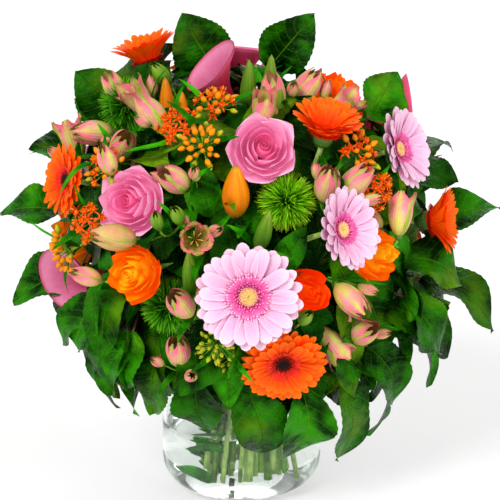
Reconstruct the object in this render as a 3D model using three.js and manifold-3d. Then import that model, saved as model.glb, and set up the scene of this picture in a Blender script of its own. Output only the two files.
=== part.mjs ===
// A round mixed bouquet, with gerberas as its largest flowers, standing in a clear glass vase.
// Millimetres. +Z is up, -Y is the front, and the origin is the middle of the vase's underside.

import * as THREE from 'three';
import { mergeVertices } from 'three/addons/utils/BufferGeometryUtils.js';
import Module from 'manifold-3d';

const wasm = await Module();
wasm.setup();

// ---- Driving dimensions ----

const CLEARANCE = 0.4; // between pieces that would touch

const VASE_RADIUS = 75.5;
const VASE_HEIGHT = 150;
const VASE_WALL = 3.8;
const VASE_FLOOR = 6;
const VASE_CORNER = 33; // rounding of the foot, outside
const WATER_LEVEL = 66;

const BIND_HEIGHT = 145; // where the stems are closest together
const BIND_RADIUS = 33;
const TIE_HEIGHT = 9;
const TIE_THICKNESS = 2.5;
const SPIRAL = 0.0062; // turn of the bundle, in radians per millimetre at the tie
const LEAN = new THREE.Vector2(0.07, 0); // the feet stand a little to the right
const STEM_GAP = 1.6; // least space between two stems at the tie

const DOME_CENTRE = new THREE.Vector3(0, 0, 262);
const DOME_RADIUS = 188;
const DOME_HALF_HEIGHT = 164;

const GERBERA = {
  large: { radius: 48, cup: 4 },
  medium: { radius: 40, cup: 5 },
  small: { radius: 34, cup: 6 },
  half_open: { radius: 34, cup: 13 },
  depth: 15,
  stem: 2.6,
};
const ROSE = { open: 30, small: 25, half_open: 21, depth: 42, stem: 2.5 };
const CALLA = { radius: 25, length: 80, stem: 3.2 };
const DIANTHUS = { radius: 27, stem: 1.9 };
const LILY_BUD = { radius: 8, length: 54, stem: 2.5, pedicel: 1.5 };
const ALSTROEMERIA = { radius: 10.5, length: 38, stem: 2, pedicel: 1.2 };
const ASCLEPIAS = { radius: 17, depth: 17, stem: 1.7, pedicel: 1.3 };
const LEAF = { thickness: 1.2, stem: 1.9, petiole: 1.4 };

const COLOURS = {
  glass: 0xe6f0ea,
  water: 0xdceae2,
  raffia: 0xb49a63,
  pink: 0xf3b3c8,
  orange: 0xf0641e,
  rosePink: 0xee86ab,
  roseOrange: 0xf79a2b,
  calla: 0xc0667f,
  dianthus: 0x3f8f1f,
  lily: 0x7fae3c,
  alstroemeria: 0xdd9a86,
  asclepias: 0xf28a1c,
  leaf: 0x1c5a22,
};

// ---- The planting plan ----
// A place is [turn, rise, reach]: degrees round from the front towards the right, degrees up from
// the middle of the dome, and the share of the way out to the dome's surface. A face is [turn, rise].

const GERBERAS = [
  { name: 'gerbera_pink_front', at: [2, -7, 1.03], face: [2, 8], form: 'large', colour: 'pink' },
  { name: 'gerbera_pink_right', at: [29, 9, 1.0], face: [48, 18], colour: 'pink' },
  { name: 'gerbera_pink_upper_right', at: [62, 27, 1.0], face: [58, 18], colour: 'pink' },
  { name: 'gerbera_pink_back', at: [168, 12, 1.0], face: [168, 14], colour: 'pink' },
  { name: 'gerbera_pink_back_left', at: [-132, 4, 1.0], face: [-132, 8], colour: 'pink' },
  { name: 'gerbera_orange_left', at: [-65, 17, 0.99], face: [-58, 12], form: 'small', colour: 'orange' },
  { name: 'gerbera_orange_low', at: [14, -32, 1.02], face: [6, -22], colour: 'orange' },
  { name: 'gerbera_orange_back', at: [-164, 44, 0.97], face: [-164, 44], colour: 'orange' },
  { name: 'gerbera_orange_back_right', at: [124, -6, 1.0], face: [124, 0], colour: 'orange' },
  { name: 'gerbera_orange_right', at: [75, 3, 0.96], face: [76, 6], form: 'half_open', colour: 'orange' },
  { name: 'gerbera_orange_upper', at: [33, 38, 0.97], face: [30, 68], form: 'half_open', colour: 'orange' },
  { name: 'gerbera_orange_crown', at: [-92, 60, 1.02], face: [-88, 72], form: 'half_open', colour: 'orange' },
];

const ROSES = [
  { name: 'rose_pink_left', at: [-34, 16, 1.03], face: [-24, 16], colour: 'rosePink' },
  { name: 'rose_pink_upper', at: [8, 34, 1.03], face: [8, 26], colour: 'rosePink' },
  { name: 'rose_pink_back', at: [-158, 16, 1.0], face: [-158, 20], colour: 'rosePink' },
  { name: 'rose_pink_back_right', at: [136, 34, 1.0], face: [136, 34], colour: 'rosePink' },
  { name: 'rose_orange_left', at: [-32, -4, 1.02], face: [-26, 2], form: 'small', colour: 'roseOrange' },
  { name: 'rose_orange_right', at: [45, 0, 0.99], face: [50, 12], form: 'small', colour: 'roseOrange' },
  { name: 'rose_orange_top', at: [78, 54, 0.97], face: [72, 60], colour: 'roseOrange' },
  { name: 'rose_orange_centre', at: [22, -10, 0.92], face: [24, 4], form: 'half_open', colour: 'roseOrange' },
  { name: 'rose_orange_back', at: [-104, -10, 1.0], face: [-104, -4], colour: 'roseOrange' },
];

const CALLAS = [
  { name: 'calla_top', at: [-36, 70, 1.02], face: [-56, 56] },
  { name: 'calla_left', at: [-70, -14, 1.0], face: [-40, 6] },
  { name: 'calla_right', at: [98, 32, 1.1], face: [92, 22] },
  { name: 'calla_back', at: [-178, 67, 1.04], face: [-178, 66] },
];

const DIANTHUSES = [
  { name: 'dianthus_upper_left', at: [-82, 46, 1.03] },
  { name: 'dianthus_front', at: [17, 19, 0.93] },
  { name: 'dianthus_low_left', at: [-28, -21, 0.93] },
  { name: 'dianthus_back', at: [148, -16, 0.98] },
];

const LILIES = [
  { name: 'lily_top', hub: [14, 60, 0.66], buds: [[4, 70, 1.02], [38, 72, 1.02], [24, 52, 0.98]] },
  { name: 'lily_front', hub: [2, 14, 0.66], buds: [[-3, 24, 1.0], [8, 9, 1.02]] },
  { name: 'lily_low', hub: [-9, -26, 0.64], buds: [[-17, -2, 1.0], [14, -16, 0.99]] },
  { name: 'lily_upper_left', hub: [-58, 46, 0.66], buds: [[-54, 57, 0.99], [-36, 54, 0.94]] },
];

const ALSTROEMERIAS = [
  {
    name: 'alstroemeria_left',
    hub: [-70, 30, 0.7],
    buds: [[-82, 27, 1.07], [-70, 33, 1.05], [-49, 33, 1.0]],
  },
  { name: 'alstroemeria_upper_left', hub: [-46, 42, 0.68], buds: [[-64, 50, 1.04], [-45, 46, 1.03]] },
  { name: 'alstroemeria_middle', hub: [-20, 18, 0.68], buds: [[-22, 25, 1.04], [-13, 6, 1.0]] },
  { name: 'alstroemeria_top', hub: [44, 56, 0.66], buds: [[20, 61, 1.0], [57, 46, 1.03], [50, 60, 1.03]] },
  { name: 'alstroemeria_right', hub: [40, 14, 0.66], buds: [[27, 23, 1.04], [38, 22, 1.05], [56, 9, 1.04]] },
  {
    name: 'alstroemeria_low_right',
    hub: [37, -24, 0.66],
    buds: [[34, -12, 1.05], [34, -32, 1.04], [46, -27, 1.06]],
  },
  { name: 'alstroemeria_low_left', hub: [-15, -31, 0.64], buds: [[-18, -11, 1.04], [-24, -33, 1.04]] },
  {
    name: 'alstroemeria_back',
    hub: [-178, -6, 0.68],
    buds: [[-178, -8, 1.02], [-168, -18, 1.02], [168, -20, 1.02]],
  },
];

const ASCLEPIASES = [
  {
    name: 'asclepias_upper',
    hub: [-20, 40, 0.68],
    umbels: [[-12, 51, 1.03], [-27, 41, 1.03], [-14, 35, 1.0]],
  },
  { name: 'asclepias_left', hub: [-52, 12, 0.7], umbels: [[-46, 25, 1.05], [-47, 8, 1.05], [-58, -3, 1.05]] },
  { name: 'asclepias_right', hub: [46, 28, 0.68], umbels: [[43, 30, 1.03], [46, 17, 1.0]] },
  { name: 'asclepias_low', hub: [4, -44, 0.66], umbels: [[-9, -27, 1.0], [-4, -36, 0.98]] },
  { name: 'asclepias_back', hub: [150, 8, 0.7], umbels: [[148, 8, 1.03], [144, 20, 1.03], [-176, 28, 1.03]] },
];

// Each leaf is [base, tip, width, the way its upper side looks]; a branch forks at its hub.
const LEAF_BRANCHES = [
  {
    name: 'leaves_upper_left',
    hub: [-102, 30, 0.7],
    leaves: [
      [[-108, 38, 0.84], [-102, 40, 1.17], 44, [-60, 40]],
      [[-88, 20, 0.86], [-84, 20, 1.13], 40, [-50, 40]],
      [[-118, 26, 0.84], [-126, 28, 1.18], 44, [-110, 70]],
    ],
  },
  {
    name: 'leaves_left',
    hub: [-88, -4, 0.7],
    leaves: [
      [[-84, 4, 0.88], [-87, 3, 1.2], 40, [-50, 50]],
      [[-90, -18, 0.86], [-84, -19, 1.23], 46, [-40, 30]],
      [[-102, -26, 0.84], [-108, -30, 1.2], 46, [-100, 60]],
    ],
  },
  {
    name: 'leaves_low_left',
    hub: [-62, -34, 0.7],
    leaves: [
      [[-64, -24, 0.9], [-71, -31, 1.14], 38, [-50, 40]],
      [[-54, -32, 0.92], [-54, -44, 1.2], 44, [-50, 20]],
      [[-72, -38, 0.9], [-68, -52, 1.26], 44, [-66, 20]],
    ],
  },
  {
    name: 'leaves_low_front',
    hub: [-16, -46, 0.68],
    leaves: [
      [[-38, -40, 0.94], [-44, -55, 1.18], 42, [-40, 20]],
      [[-20, -44, 0.98], [-18, -60, 1.22], 40, [-18, 10]],
      [[2, -46, 1.0], [13, -65, 1.34], 44, [8, 10]],
    ],
  },
  {
    name: 'leaves_low_right',
    hub: [42, -42, 0.68],
    leaves: [
      [[26, -46, 1.04], [25, -65, 1.38], 44, [24, 10]],
      [[46, -44, 1.04], [53, -62, 1.46], 44, [48, 10]],
      [[66, -40, 1.0], [73, -57, 1.42], 40, [66, 20]],
    ],
  },
  {
    name: 'leaves_right',
    hub: [72, -24, 0.7],
    leaves: [
      [[78, -16, 0.95], [80, -22, 1.4], 46, [50, 40]],
      [[62, -18, 0.95], [66, -28, 1.26], 44, [50, 30]],
      [[84, -32, 0.95], [83, -40, 1.36], 44, [70, 40]],
    ],
  },
  {
    name: 'leaves_upper_right',
    hub: [96, 16, 0.7],
    leaves: [
      [[94, -6, 0.92], [92, 3, 1.28], 44, [60, 50]],
      [[88, 38, 0.86], [94, 43, 1.14], 42, [50, 40]],
      [[108, 14, 0.88], [114, 14, 1.22], 44, [110, 70]],
    ],
  },
  {
    name: 'leaves_top',
    hub: [118, 62, 0.7],
    leaves: [
      [[-120, 80, 0.86], [-100, 74, 1.2], 48, [-20, 30]],
      [[140, 74, 0.86], [104, 70, 1.2], 44, [20, 30]],
      [[156, 54, 0.86], [160, 52, 1.16], 42, [160, 80]],
    ],
  },
  {
    name: 'leaves_back_left',
    hub: [-136, -26, 0.7],
    leaves: [
      [[-126, -18, 0.9], [-124, -20, 1.22], 44, [-126, 60]],
      [[-144, -30, 0.92], [-147, -44, 1.24], 46, [-145, 30]],
      [[-118, -36, 0.92], [-114, -50, 1.26], 44, [-116, 20]],
    ],
  },
  {
    name: 'leaves_back',
    hub: [178, -38, 0.7],
    leaves: [
      [[178, -36, 0.97], [178, -54, 1.26], 46, [178, 20]],
      [[-160, -38, 0.96], [-158, -58, 1.32], 44, [-160, 10]],
      [[156, -40, 0.96], [154, -58, 1.3], 46, [155, 10]],
    ],
  },
  {
    name: 'leaves_back_right',
    hub: [122, -30, 0.7],
    leaves: [
      [[108, -24, 0.92], [106, -27, 1.28], 46, [108, 60]],
      [[132, -36, 0.95], [133, -52, 1.3], 46, [132, 20]],
      [[108, -42, 0.95], [106, -56, 1.36], 44, [106, 20]],
    ],
  },
];

// ---- Places, directions and solids ----

const DEGREE = Math.PI / 180;
const UP = new THREE.Vector3(0, 0, 1);

function direction([turn, rise]) {
  const a = turn * DEGREE;
  const e = rise * DEGREE;
  return new THREE.Vector3(Math.cos(e) * Math.sin(a), -Math.cos(e) * Math.cos(a), Math.sin(e));
}

// A point of the dome, from its turn, rise and reach.
function place([turn, rise, reach]) {
  const e = rise * DEGREE;
  const surface = 1 / Math.hypot(Math.cos(e) / DOME_RADIUS, Math.sin(e) / DOME_HALF_HEIGHT);
  return direction([turn, rise]).multiplyScalar(surface * reach).add(DOME_CENTRE);
}

function solid(geometry) {
  geometry.deleteAttribute('normal');
  geometry.deleteAttribute('uv');
  const merged = mergeVertices(geometry, 1e-4);
  const vertProperties = new Float32Array(merged.attributes.position.array);
  const triVerts = new Uint32Array(merged.index.array);
  return new wasm.Manifold(new wasm.Mesh({ numProp: 3, vertProperties, triVerts }));
}

function geometryOf(manifold) {
  const mesh = manifold.getMesh();
  const geometry = new THREE.BufferGeometry();
  geometry.setAttribute('position', new THREE.BufferAttribute(mesh.vertProperties.slice(), 3));
  geometry.setIndex(new THREE.BufferAttribute(mesh.triVerts.slice(), 1));
  geometry.computeVertexNormals();
  return geometry;
}

// A body of revolution about Z from [radius, height] pairs that start and end on the axis.
function turned(profile, sides) {
  const points = profile.map(([r, z]) => new THREE.Vector2(r, z));
  const geometry = new THREE.LatheGeometry(points, sides);
  geometry.rotateX(Math.PI / 2);
  return geometry;
}

// Stands a shape made about +Z at a point, facing along a direction.
function stand(geometry, point, facing) {
  const turn = new THREE.Quaternion().setFromUnitVectors(UP, facing);
  geometry.applyQuaternion(turn);
  geometry.translate(point.x, point.y, point.z);
  return geometry;
}

function rod(curve, radius, sides, steps) {
  const section = new THREE.Shape();
  for (let i = 0; i < sides; i += 1) {
    const a = (2 * Math.PI * i) / sides;
    const x = radius * Math.cos(a);
    const y = radius * Math.sin(a);
    if (i === 0) section.moveTo(x, y);
    else section.lineTo(x, y);
  }
  section.closePath();
  return new THREE.ExtrudeGeometry(section, { steps, bevelEnabled: false, extrudePath: curve });
}

// ---- Flowers, each about +Z with its stem's end at the origin ----

function gerberaHead({ form = 'medium' }) {
  const { depth } = GERBERA;
  const { radius, cup } = GERBERA[form];
  const calyx = [[0, -1], [8, 1], [13, depth - 6]];
  const petals = [[radius, depth - 2 + cup], [radius, depth + cup], [0.3 * radius, depth], [0, depth]];
  return turned([...calyx, ...petals], 10);
}

function roseHead({ form = 'open' }) {
  const r = ROSE[form];
  const h = ROSE.depth;
  const below = [[0, -1], [0.3 * r, 0.06 * h], [0.8 * r, 0.3 * h]];
  return turned([...below, [r, 0.62 * h], [0.85 * r, 0.9 * h], [0, h]], 9);
}

function callaHead() {
  const r = CALLA.radius;
  const h = CALLA.length;
  const outside = [[0, -1], [5, 3], [9, 0.45 * h], [0.75 * r, 0.8 * h], [r, 0.96 * h]];
  const inside = [[0.9 * r, h], [6, 0.6 * h], [0, 0.55 * h]];
  return turned([...outside, ...inside], 9);
}

function dianthusHead() {
  const ball = new THREE.IcosahedronGeometry(DIANTHUS.radius, 1);
  ball.translate(0, 0, DIANTHUS.radius * 0.85);
  return ball;
}

function bud(radius, length) {
  return turned([[0, -1], [radius, 0.4 * length], [0.8 * radius, 0.75 * length], [0, length]], 6);
}

function umbel() {
  const r = ASCLEPIAS.radius;
  const h = ASCLEPIAS.depth;
  return turned([[0, -1], [r, 0.55 * h], [0.8 * r, 0.9 * h], [0, h]], 8);
}

// A leaf blade from base to tip: pointed at both ends, arched lengthwise, folded along its midrib.
function leafBlade(base, tip, width, upper) {
  const along = tip.clone().sub(base);
  const length = along.length();
  along.normalize();
  const across = along.clone().cross(upper).normalize();
  const normal = across.clone().cross(along);
  const blade = new THREE.BoxGeometry(1, 1, LEAF.thickness, 2, 3, 1);
  const spots = blade.attributes.position;
  for (let i = 0; i < spots.count; i += 1) {
    const t = spots.getY(i) + 0.5;
    const side = spots.getX(i) * 2;
    const half = Math.max(1.2, 0.5 * width * Math.sin(Math.PI * t ** 0.8) ** 0.8);
    const lift = 0.13 * length * Math.sin(Math.PI * t) + 0.12 * half * Math.abs(side) + spots.getZ(i);
    const spot = base.clone().addScaledVector(along, t * length);
    spot.addScaledVector(across, side * half).addScaledVector(normal, lift);
    spots.setXYZ(i, spot.x, spot.y, spot.z);
  }
  return blade;
}

// ---- Stems: every one passes the tie and runs down into the water ----

const OVERLAP = 2; // how far a stem runs into the flower it carries

function headStem(item, head, radius) {
  const facing = direction(item.face ?? item.at);
  const base = place(item.at).addScaledVector(facing, -head.depth);
  return { ...item, radius, end: base, facing, parts: [stand(head.geometry, base, facing)] };
}

// A stem that forks at its hub into pedicels, each with a bud or an umbel at its end.
function forkedStem(item, tips, shape, length, radius, pedicel) {
  const end = place(item.hub);
  const facing = direction(item.hub);
  const parts = tips.map((tip) => {
    const top = place(tip);
    const out = top.clone().sub(end).normalize().add(direction(tip)).normalize();
    const base = top.clone().addScaledVector(out, -length);
    const middle = base.clone().addScaledVector(out, -0.5 * base.distanceTo(end));
    const arm = new THREE.QuadraticBezierCurve3(end, middle, base.clone().addScaledVector(out, OVERLAP));
    return [stand(shape(), base, out), rod(arm, pedicel, 4, 2)];
  });
  return { ...item, radius, end, facing, parts: parts.flat() };
}

function leafyStem(item) {
  const end = place(item.hub);
  const facing = direction(item.hub);
  const parts = item.leaves.map(([base, tip, width, upper]) => {
    const root = place(base);
    const blade = leafBlade(root, place(tip), width, direction(upper));
    return [blade, rod(new THREE.LineCurve3(end, root), LEAF.petiole, 4, 1)];
  });
  return { ...item, radius: LEAF.stem, end, facing, colour: 'leaf', parts: parts.flat() };
}

const stems = [
  ...GERBERAS.map((g) => headStem(g, { geometry: gerberaHead(g), depth: GERBERA.depth }, GERBERA.stem)),
  ...ROSES.map((r) => headStem(r, { geometry: roseHead(r), depth: ROSE.depth }, ROSE.stem)),
  ...CALLAS.map((c) => {
    const head = { geometry: callaHead(), depth: CALLA.length };
    return headStem({ ...c, colour: 'calla' }, head, CALLA.stem);
  }),
  ...DIANTHUSES.map((d) => {
    const head = { geometry: dianthusHead(), depth: DIANTHUS.radius * 1.85 };
    return headStem({ ...d, colour: 'dianthus' }, head, DIANTHUS.stem);
  }),
  ...LILIES.map((l) => {
    const { radius, length, stem, pedicel } = LILY_BUD;
    const shape = () => bud(radius, length);
    return forkedStem({ ...l, colour: 'lily' }, l.buds, shape, length, stem, pedicel);
  }),
  ...ALSTROEMERIAS.map((a) => {
    const { radius, length, stem, pedicel } = ALSTROEMERIA;
    const shape = () => bud(radius, length);
    return forkedStem({ ...a, colour: 'alstroemeria' }, a.buds, shape, length, stem, pedicel);
  }),
  ...ASCLEPIASES.map((a) => {
    const { depth, stem, pedicel } = ASCLEPIAS;
    return forkedStem({ ...a, colour: 'asclepias' }, a.umbels, umbel, depth, stem, pedicel);
  }),
  ...LEAF_BRANCHES.map(leafyStem),
];

const HALF_SPIRAL = 50 * DEGREE; // the part turn from the tie up to the flower

// Where a stem crosses the tie: stems for the top of the dome run in the middle, those for its
// sides run outside, each a part turn behind its flower, as in a spiral-tied bunch.
function tiePoint(stem) {
  const from = new THREE.Vector3(0, 0, BIND_HEIGHT);
  const way = stem.end.clone().sub(from);
  const slope = Math.atan2(Math.hypot(way.x, way.y), way.z);
  const turn = Math.atan2(way.y, way.x) - HALF_SPIRAL;
  const spread = BIND_RADIUS * Math.min(1, Math.sin(slope / 2) / Math.SQRT1_2);
  return new THREE.Vector2(spread * Math.cos(turn), spread * Math.sin(turn));
}

const SETTLE_ROUNDS = 300;

// Stems that would share the same spot at the tie push each other aside.
function settle(all) {
  const spots = all.map(tiePoint);
  for (let round = 0; round < SETTLE_ROUNDS; round += 1) {
    for (let i = 0; i < all.length; i += 1) {
      for (let j = i + 1; j < all.length; j += 1) {
        const apart = spots[j].clone().sub(spots[i]);
        const short = all[i].radius + all[j].radius + STEM_GAP - apart.length();
        if (short > 0) {
          apart.setLength(short / 2);
          spots[i].sub(apart);
          spots[j].add(apart);
        }
      }
      spots[i].clampLength(0, BIND_RADIUS - all[i].radius);
    }
  }
  return spots;
}

// Slope of the straight lower part of a stem: sideways travel for each millimetre of height.
function lowerSlope(spot) {
  return new THREE.Vector2(-spot.y, spot.x).multiplyScalar(SPIRAL).sub(LEAN);
}

function belowTie(spot, height) {
  const slope = lowerSlope(spot);
  const drop = height - BIND_HEIGHT;
  return new THREE.Vector3(spot.x + slope.x * drop, spot.y + slope.y * drop, height);
}

const TIE_STIFFNESS = 0.36; // how far a stem keeps straight past the tie, as a share of its way
const NECK_STIFFNESS = 0.24;

// The four control points of a stem from the tie up to its flower.
function upperControls(stem, spot) {
  const foot = belowTie(spot, VASE_FLOOR);
  const tie = belowTie(spot, BIND_HEIGHT);
  const way = stem.end.distanceTo(tie);
  const rising = tie.clone().sub(foot).normalize();
  return [
    tie,
    tie.clone().addScaledVector(rising, TIE_STIFFNESS * way),
    stem.end.clone().addScaledVector(stem.facing, -NECK_STIFFNESS * way),
    stem.end.clone().addScaledVector(stem.facing, OVERLAP),
  ];
}

const NUDGE_ROUNDS = 12;
const NUDGE_SAMPLES = 16;

// Above the tie, stems that would run into each other bend aside.
function nudgeApart(all, controls) {
  for (let round = 0; round < NUDGE_ROUNDS; round += 1) {
    const lines = controls.map((c) => new THREE.CubicBezierCurve3(...c).getPoints(NUDGE_SAMPLES));
    for (let i = 0; i < all.length; i += 1) {
      for (let j = i + 1; j < all.length; j += 1) {
        const need = all[i].radius + all[j].radius + STEM_GAP;
        const meeting = closest(lines[i], lines[j]);
        if (meeting.distance < need) {
          const push = meeting.apart.setLength(0.6 * (need - meeting.distance));
          controls[i][1].sub(push);
          controls[i][2].sub(push);
          controls[j][1].add(push);
          controls[j][2].add(push);
        }
      }
    }
  }
}

// The least distance between two sampled routes past the tie, and the way from the first to the second.
function closest(one, other) {
  const best = { distance: Infinity, apart: null };
  for (const a of one.slice(2)) {
    for (const b of other.slice(2)) {
      const distance = a.distanceTo(b);
      if (distance < best.distance) {
        best.distance = distance;
        best.apart = b.clone().sub(a);
      }
    }
  }
  return best;
}

// A stem's route: straight from its foot to the tie in one step, then curved up to its flower.
class StemRoute extends THREE.Curve {
  constructor(lower, upper, steps) {
    super();
    this.lower = lower;
    this.upper = upper;
    this.steps = steps;
  }

  getPoint(t) {
    const step = t * this.steps;
    return step < 1 ? this.lower.getPoint(step) : this.upper.getPoint((step - 1) / (this.steps - 1));
  }

  getUtoTmapping(u) {
    return u;
  }
}

const STEM_STEPS = 6;
const STEM_SIDES = 5;
const FOOT_LOWEST = VASE_FLOOR + 4;
const FOOT_SPREAD = 26; // the stems are cut to slightly different lengths

const tieSpots = settle(stems);
const controls = stems.map((stem, i) => upperControls(stem, tieSpots[i]));
nudgeApart(stems, controls);

const plants = stems.map((stem, i) => {
  const footHeight = FOOT_LOWEST + ((i * 7) % 12) * (FOOT_SPREAD / 12);
  const lower = new THREE.LineCurve3(belowTie(tieSpots[i], footHeight), controls[i][0]);
  const route = new StemRoute(lower, new THREE.CubicBezierCurve3(...controls[i]), STEM_STEPS);
  const stalk = rod(route, stem.radius, STEM_SIDES, STEM_STEPS);
  const whole = stem.parts.reduce((sum, part) => sum.add(solid(part)), solid(stalk));
  return { ...stem, whole, footHeight, spot: tieSpots[i] };
});

// ---- Vase, water and tie ----

function footArc(radius, corner, bottom, steps) {
  const arc = [];
  for (let i = 0; i <= steps; i += 1) {
    const a = (i / steps) * Math.PI * 0.5;
    arc.push([radius - corner + corner * Math.sin(a), bottom + corner - corner * Math.cos(a)]);
  }
  return arc;
}

const VASE_SIDES = 28;
const ARC_STEPS = 3;
const INNER_RADIUS = VASE_RADIUS - VASE_WALL;
const INNER_CORNER = VASE_CORNER - VASE_WALL;

function vase() {
  const inside = footArc(INNER_RADIUS, INNER_CORNER, VASE_FLOOR, ARC_STEPS).reverse();
  return turned(
    [
      [0, 0],
      ...footArc(VASE_RADIUS, VASE_CORNER, 0, ARC_STEPS),
      [VASE_RADIUS, VASE_HEIGHT - 1],
      [VASE_RADIUS - 0.5 * VASE_WALL, VASE_HEIGHT],
      [INNER_RADIUS, VASE_HEIGHT - 1],
      ...inside,
      [0, VASE_FLOOR],
    ],
    VASE_SIDES,
  );
}

// The water fills the vase up to its level, with a hole for every stem that stands in it.
function water() {
  const gap = CLEARANCE / Math.cos(Math.PI / VASE_SIDES);
  const outline = footArc(INNER_RADIUS - gap, INNER_CORNER - gap, VASE_FLOOR + gap, ARC_STEPS);
  const surface = [[INNER_RADIUS - gap, WATER_LEVEL], [0, WATER_LEVEL]];
  let body = solid(turned([[0, VASE_FLOOR + gap], ...outline, ...surface], VASE_SIDES));
  for (const plant of plants) {
    const hole = (plant.radius + CLEARANCE) / Math.cos(Math.PI / STEM_SIDES);
    const low = belowTie(plant.spot, plant.footHeight - 1);
    const high = belowTie(plant.spot, WATER_LEVEL + 4);
    body = body.subtract(solid(rod(new THREE.LineCurve3(low, high), hole, STEM_SIDES, 1)));
  }
  return geometryOf(body);
}

function tie() {
  const inner = BIND_RADIUS + 2;
  const outer = inner + TIE_THICKNESS;
  const low = BIND_HEIGHT - TIE_HEIGHT;
  const ring = [[inner, low], [outer, low], [outer, BIND_HEIGHT], [inner, BIND_HEIGHT], [inner, low]];
  return turned(ring, 20);
}

// ---- Assembly ----

const SURFACES = {
  glass: { roughness: 0.03, metalness: 0 },
  water: { roughness: 0.02, metalness: 0 },
  leaf: { roughness: 0.35, metalness: 0 },
};

function piece(name, geometry, colour) {
  const surface = SURFACES[colour] ?? { roughness: 0.6, metalness: 0 };
  const material = new THREE.MeshStandardMaterial({ color: COLOURS[colour], ...surface });
  const mesh = new THREE.Mesh(geometry, material);
  mesh.name = name;
  return mesh;
}

const bouquet = new THREE.Group();
bouquet.add(piece('vase', vase(), 'glass'));
bouquet.add(piece('water', water(), 'water'));
bouquet.add(piece('tie', tie(), 'raffia'));
for (const plant of plants) {
  bouquet.add(piece(plant.name, geometryOf(plant.whole), plant.colour));
}

export default bouquet;
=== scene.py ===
import math

import bpy
import numpy as np
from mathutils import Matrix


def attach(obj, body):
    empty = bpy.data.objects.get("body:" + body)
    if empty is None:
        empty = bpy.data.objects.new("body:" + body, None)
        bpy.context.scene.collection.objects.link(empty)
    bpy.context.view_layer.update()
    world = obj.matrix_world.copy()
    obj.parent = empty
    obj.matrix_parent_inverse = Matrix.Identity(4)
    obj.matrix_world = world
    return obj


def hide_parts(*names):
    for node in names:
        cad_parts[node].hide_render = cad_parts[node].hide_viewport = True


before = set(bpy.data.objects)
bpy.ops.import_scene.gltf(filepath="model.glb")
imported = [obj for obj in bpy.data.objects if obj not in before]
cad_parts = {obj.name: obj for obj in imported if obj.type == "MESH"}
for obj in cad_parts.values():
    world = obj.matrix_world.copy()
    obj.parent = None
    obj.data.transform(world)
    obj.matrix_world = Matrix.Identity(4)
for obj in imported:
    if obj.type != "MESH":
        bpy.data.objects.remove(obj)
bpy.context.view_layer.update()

MM = 0.001

# ---- The frame's own dimensions, in millimetres ----

VASE_RADIUS = 75.5
VASE_HEIGHT = 150.0
VASE_WALL = 3.8
VASE_FLOOR = 6.0
VASE_CORNER = 33.0
WATER_LEVEL = 66.0

BIND_HEIGHT = 145.0
BIND_RADIUS = 33.0
TIE_HEIGHT = 9.0
SPIRAL = 0.0062
LEAN = np.array([0.07, 0.0])
STEM_GAP = 1.6
HALF_SPIRAL = math.radians(50)
TIE_STIFFNESS = 0.36
NECK_STIFFNESS = 0.24
SETTLE_ROUNDS = 300
NUDGE_ROUNDS = 12
NUDGE_SAMPLES = 16
FOOT_LOWEST = VASE_FLOOR + 4
FOOT_SPREAD = 26.0

DOME_CENTRE = np.array([0.0, 0.0, 262.0])
DOME_RADIUS = 188.0
DOME_HALF_HEIGHT = 164.0

GERBERA_RADIUS = {"large": 48.0, "medium": 40.0, "small": 34.0, "half_open": 34.0}
GERBERA_DEPTH = 15.0
ROSE_RADIUS = {"open": 30.0, "small": 25.0, "half_open": 21.0}
ROSE_DEPTH = 42.0
CALLA_RADIUS = 25.0
CALLA_LENGTH = 80.0
DIANTHUS_RADIUS = 27.0
LILY_BUD = (8.0, 54.0)
ALSTROEMERIA_BUD = (10.5, 38.0)
UMBEL_DEPTH = 17.0
STEM_RADIUS = {
    "gerbera": 2.6, "rose": 2.5, "calla": 3.2, "dianthus": 1.9,
    "lily": 2.5, "alstroemeria": 2.0, "asclepias": 1.7, "leaves": 1.9,
}

# ---- The planting plan, as in the frame ----
# A place is (turn, rise, reach): degrees round from the front towards the right, degrees up from the
# middle of the dome, and the share of the way out to its surface. A face is (turn, rise).

GERBERAS = [
    ("gerbera_pink_front", (2, -7, 1.03), (2, 8), "large"),
    ("gerbera_pink_right", (29, 9, 1.0), (48, 18), "medium"),
    ("gerbera_pink_upper_right", (62, 27, 1.0), (58, 18), "medium"),
    ("gerbera_pink_back", (168, 12, 1.0), (168, 14), "medium"),
    ("gerbera_pink_back_left", (-132, 4, 1.0), (-132, 8), "medium"),
    ("gerbera_orange_left", (-65, 17, 0.99), (-58, 12), "small"),
    ("gerbera_orange_low", (14, -32, 1.02), (6, -22), "medium"),
    ("gerbera_orange_back", (-164, 44, 0.97), (-164, 44), "medium"),
    ("gerbera_orange_back_right", (124, -6, 1.0), (124, 0), "medium"),
    ("gerbera_orange_right", (75, 3, 0.96), (76, 6), "half_open"),
    ("gerbera_orange_upper", (33, 38, 0.97), (30, 68), "half_open"),
    ("gerbera_orange_crown", (-92, 60, 1.02), (-88, 72), "half_open"),
]

ROSES = [
    ("rose_pink_left", (-34, 16, 1.03), (-24, 16), "open"),
    ("rose_pink_upper", (8, 34, 1.03), (8, 26), "open"),
    ("rose_pink_back", (-158, 16, 1.0), (-158, 20), "open"),
    ("rose_pink_back_right", (136, 34, 1.0), (136, 34), "open"),
    ("rose_orange_left", (-32, -4, 1.02), (-26, 2), "small"),
    ("rose_orange_right", (45, 0, 0.99), (50, 12), "small"),
    ("rose_orange_top", (78, 54, 0.97), (72, 60), "open"),
    ("rose_orange_centre", (22, -10, 0.92), (24, 4), "half_open"),
    ("rose_orange_back", (-104, -10, 1.0), (-104, -4), "open"),
]

CALLAS = [
    ("calla_top", (-36, 70, 1.02), (-56, 56)),
    ("calla_left", (-70, -14, 1.0), (-40, 6)),
    ("calla_right", (98, 32, 1.1), (92, 22)),
    ("calla_back", (-178, 67, 1.04), (-178, 66)),
]

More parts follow.
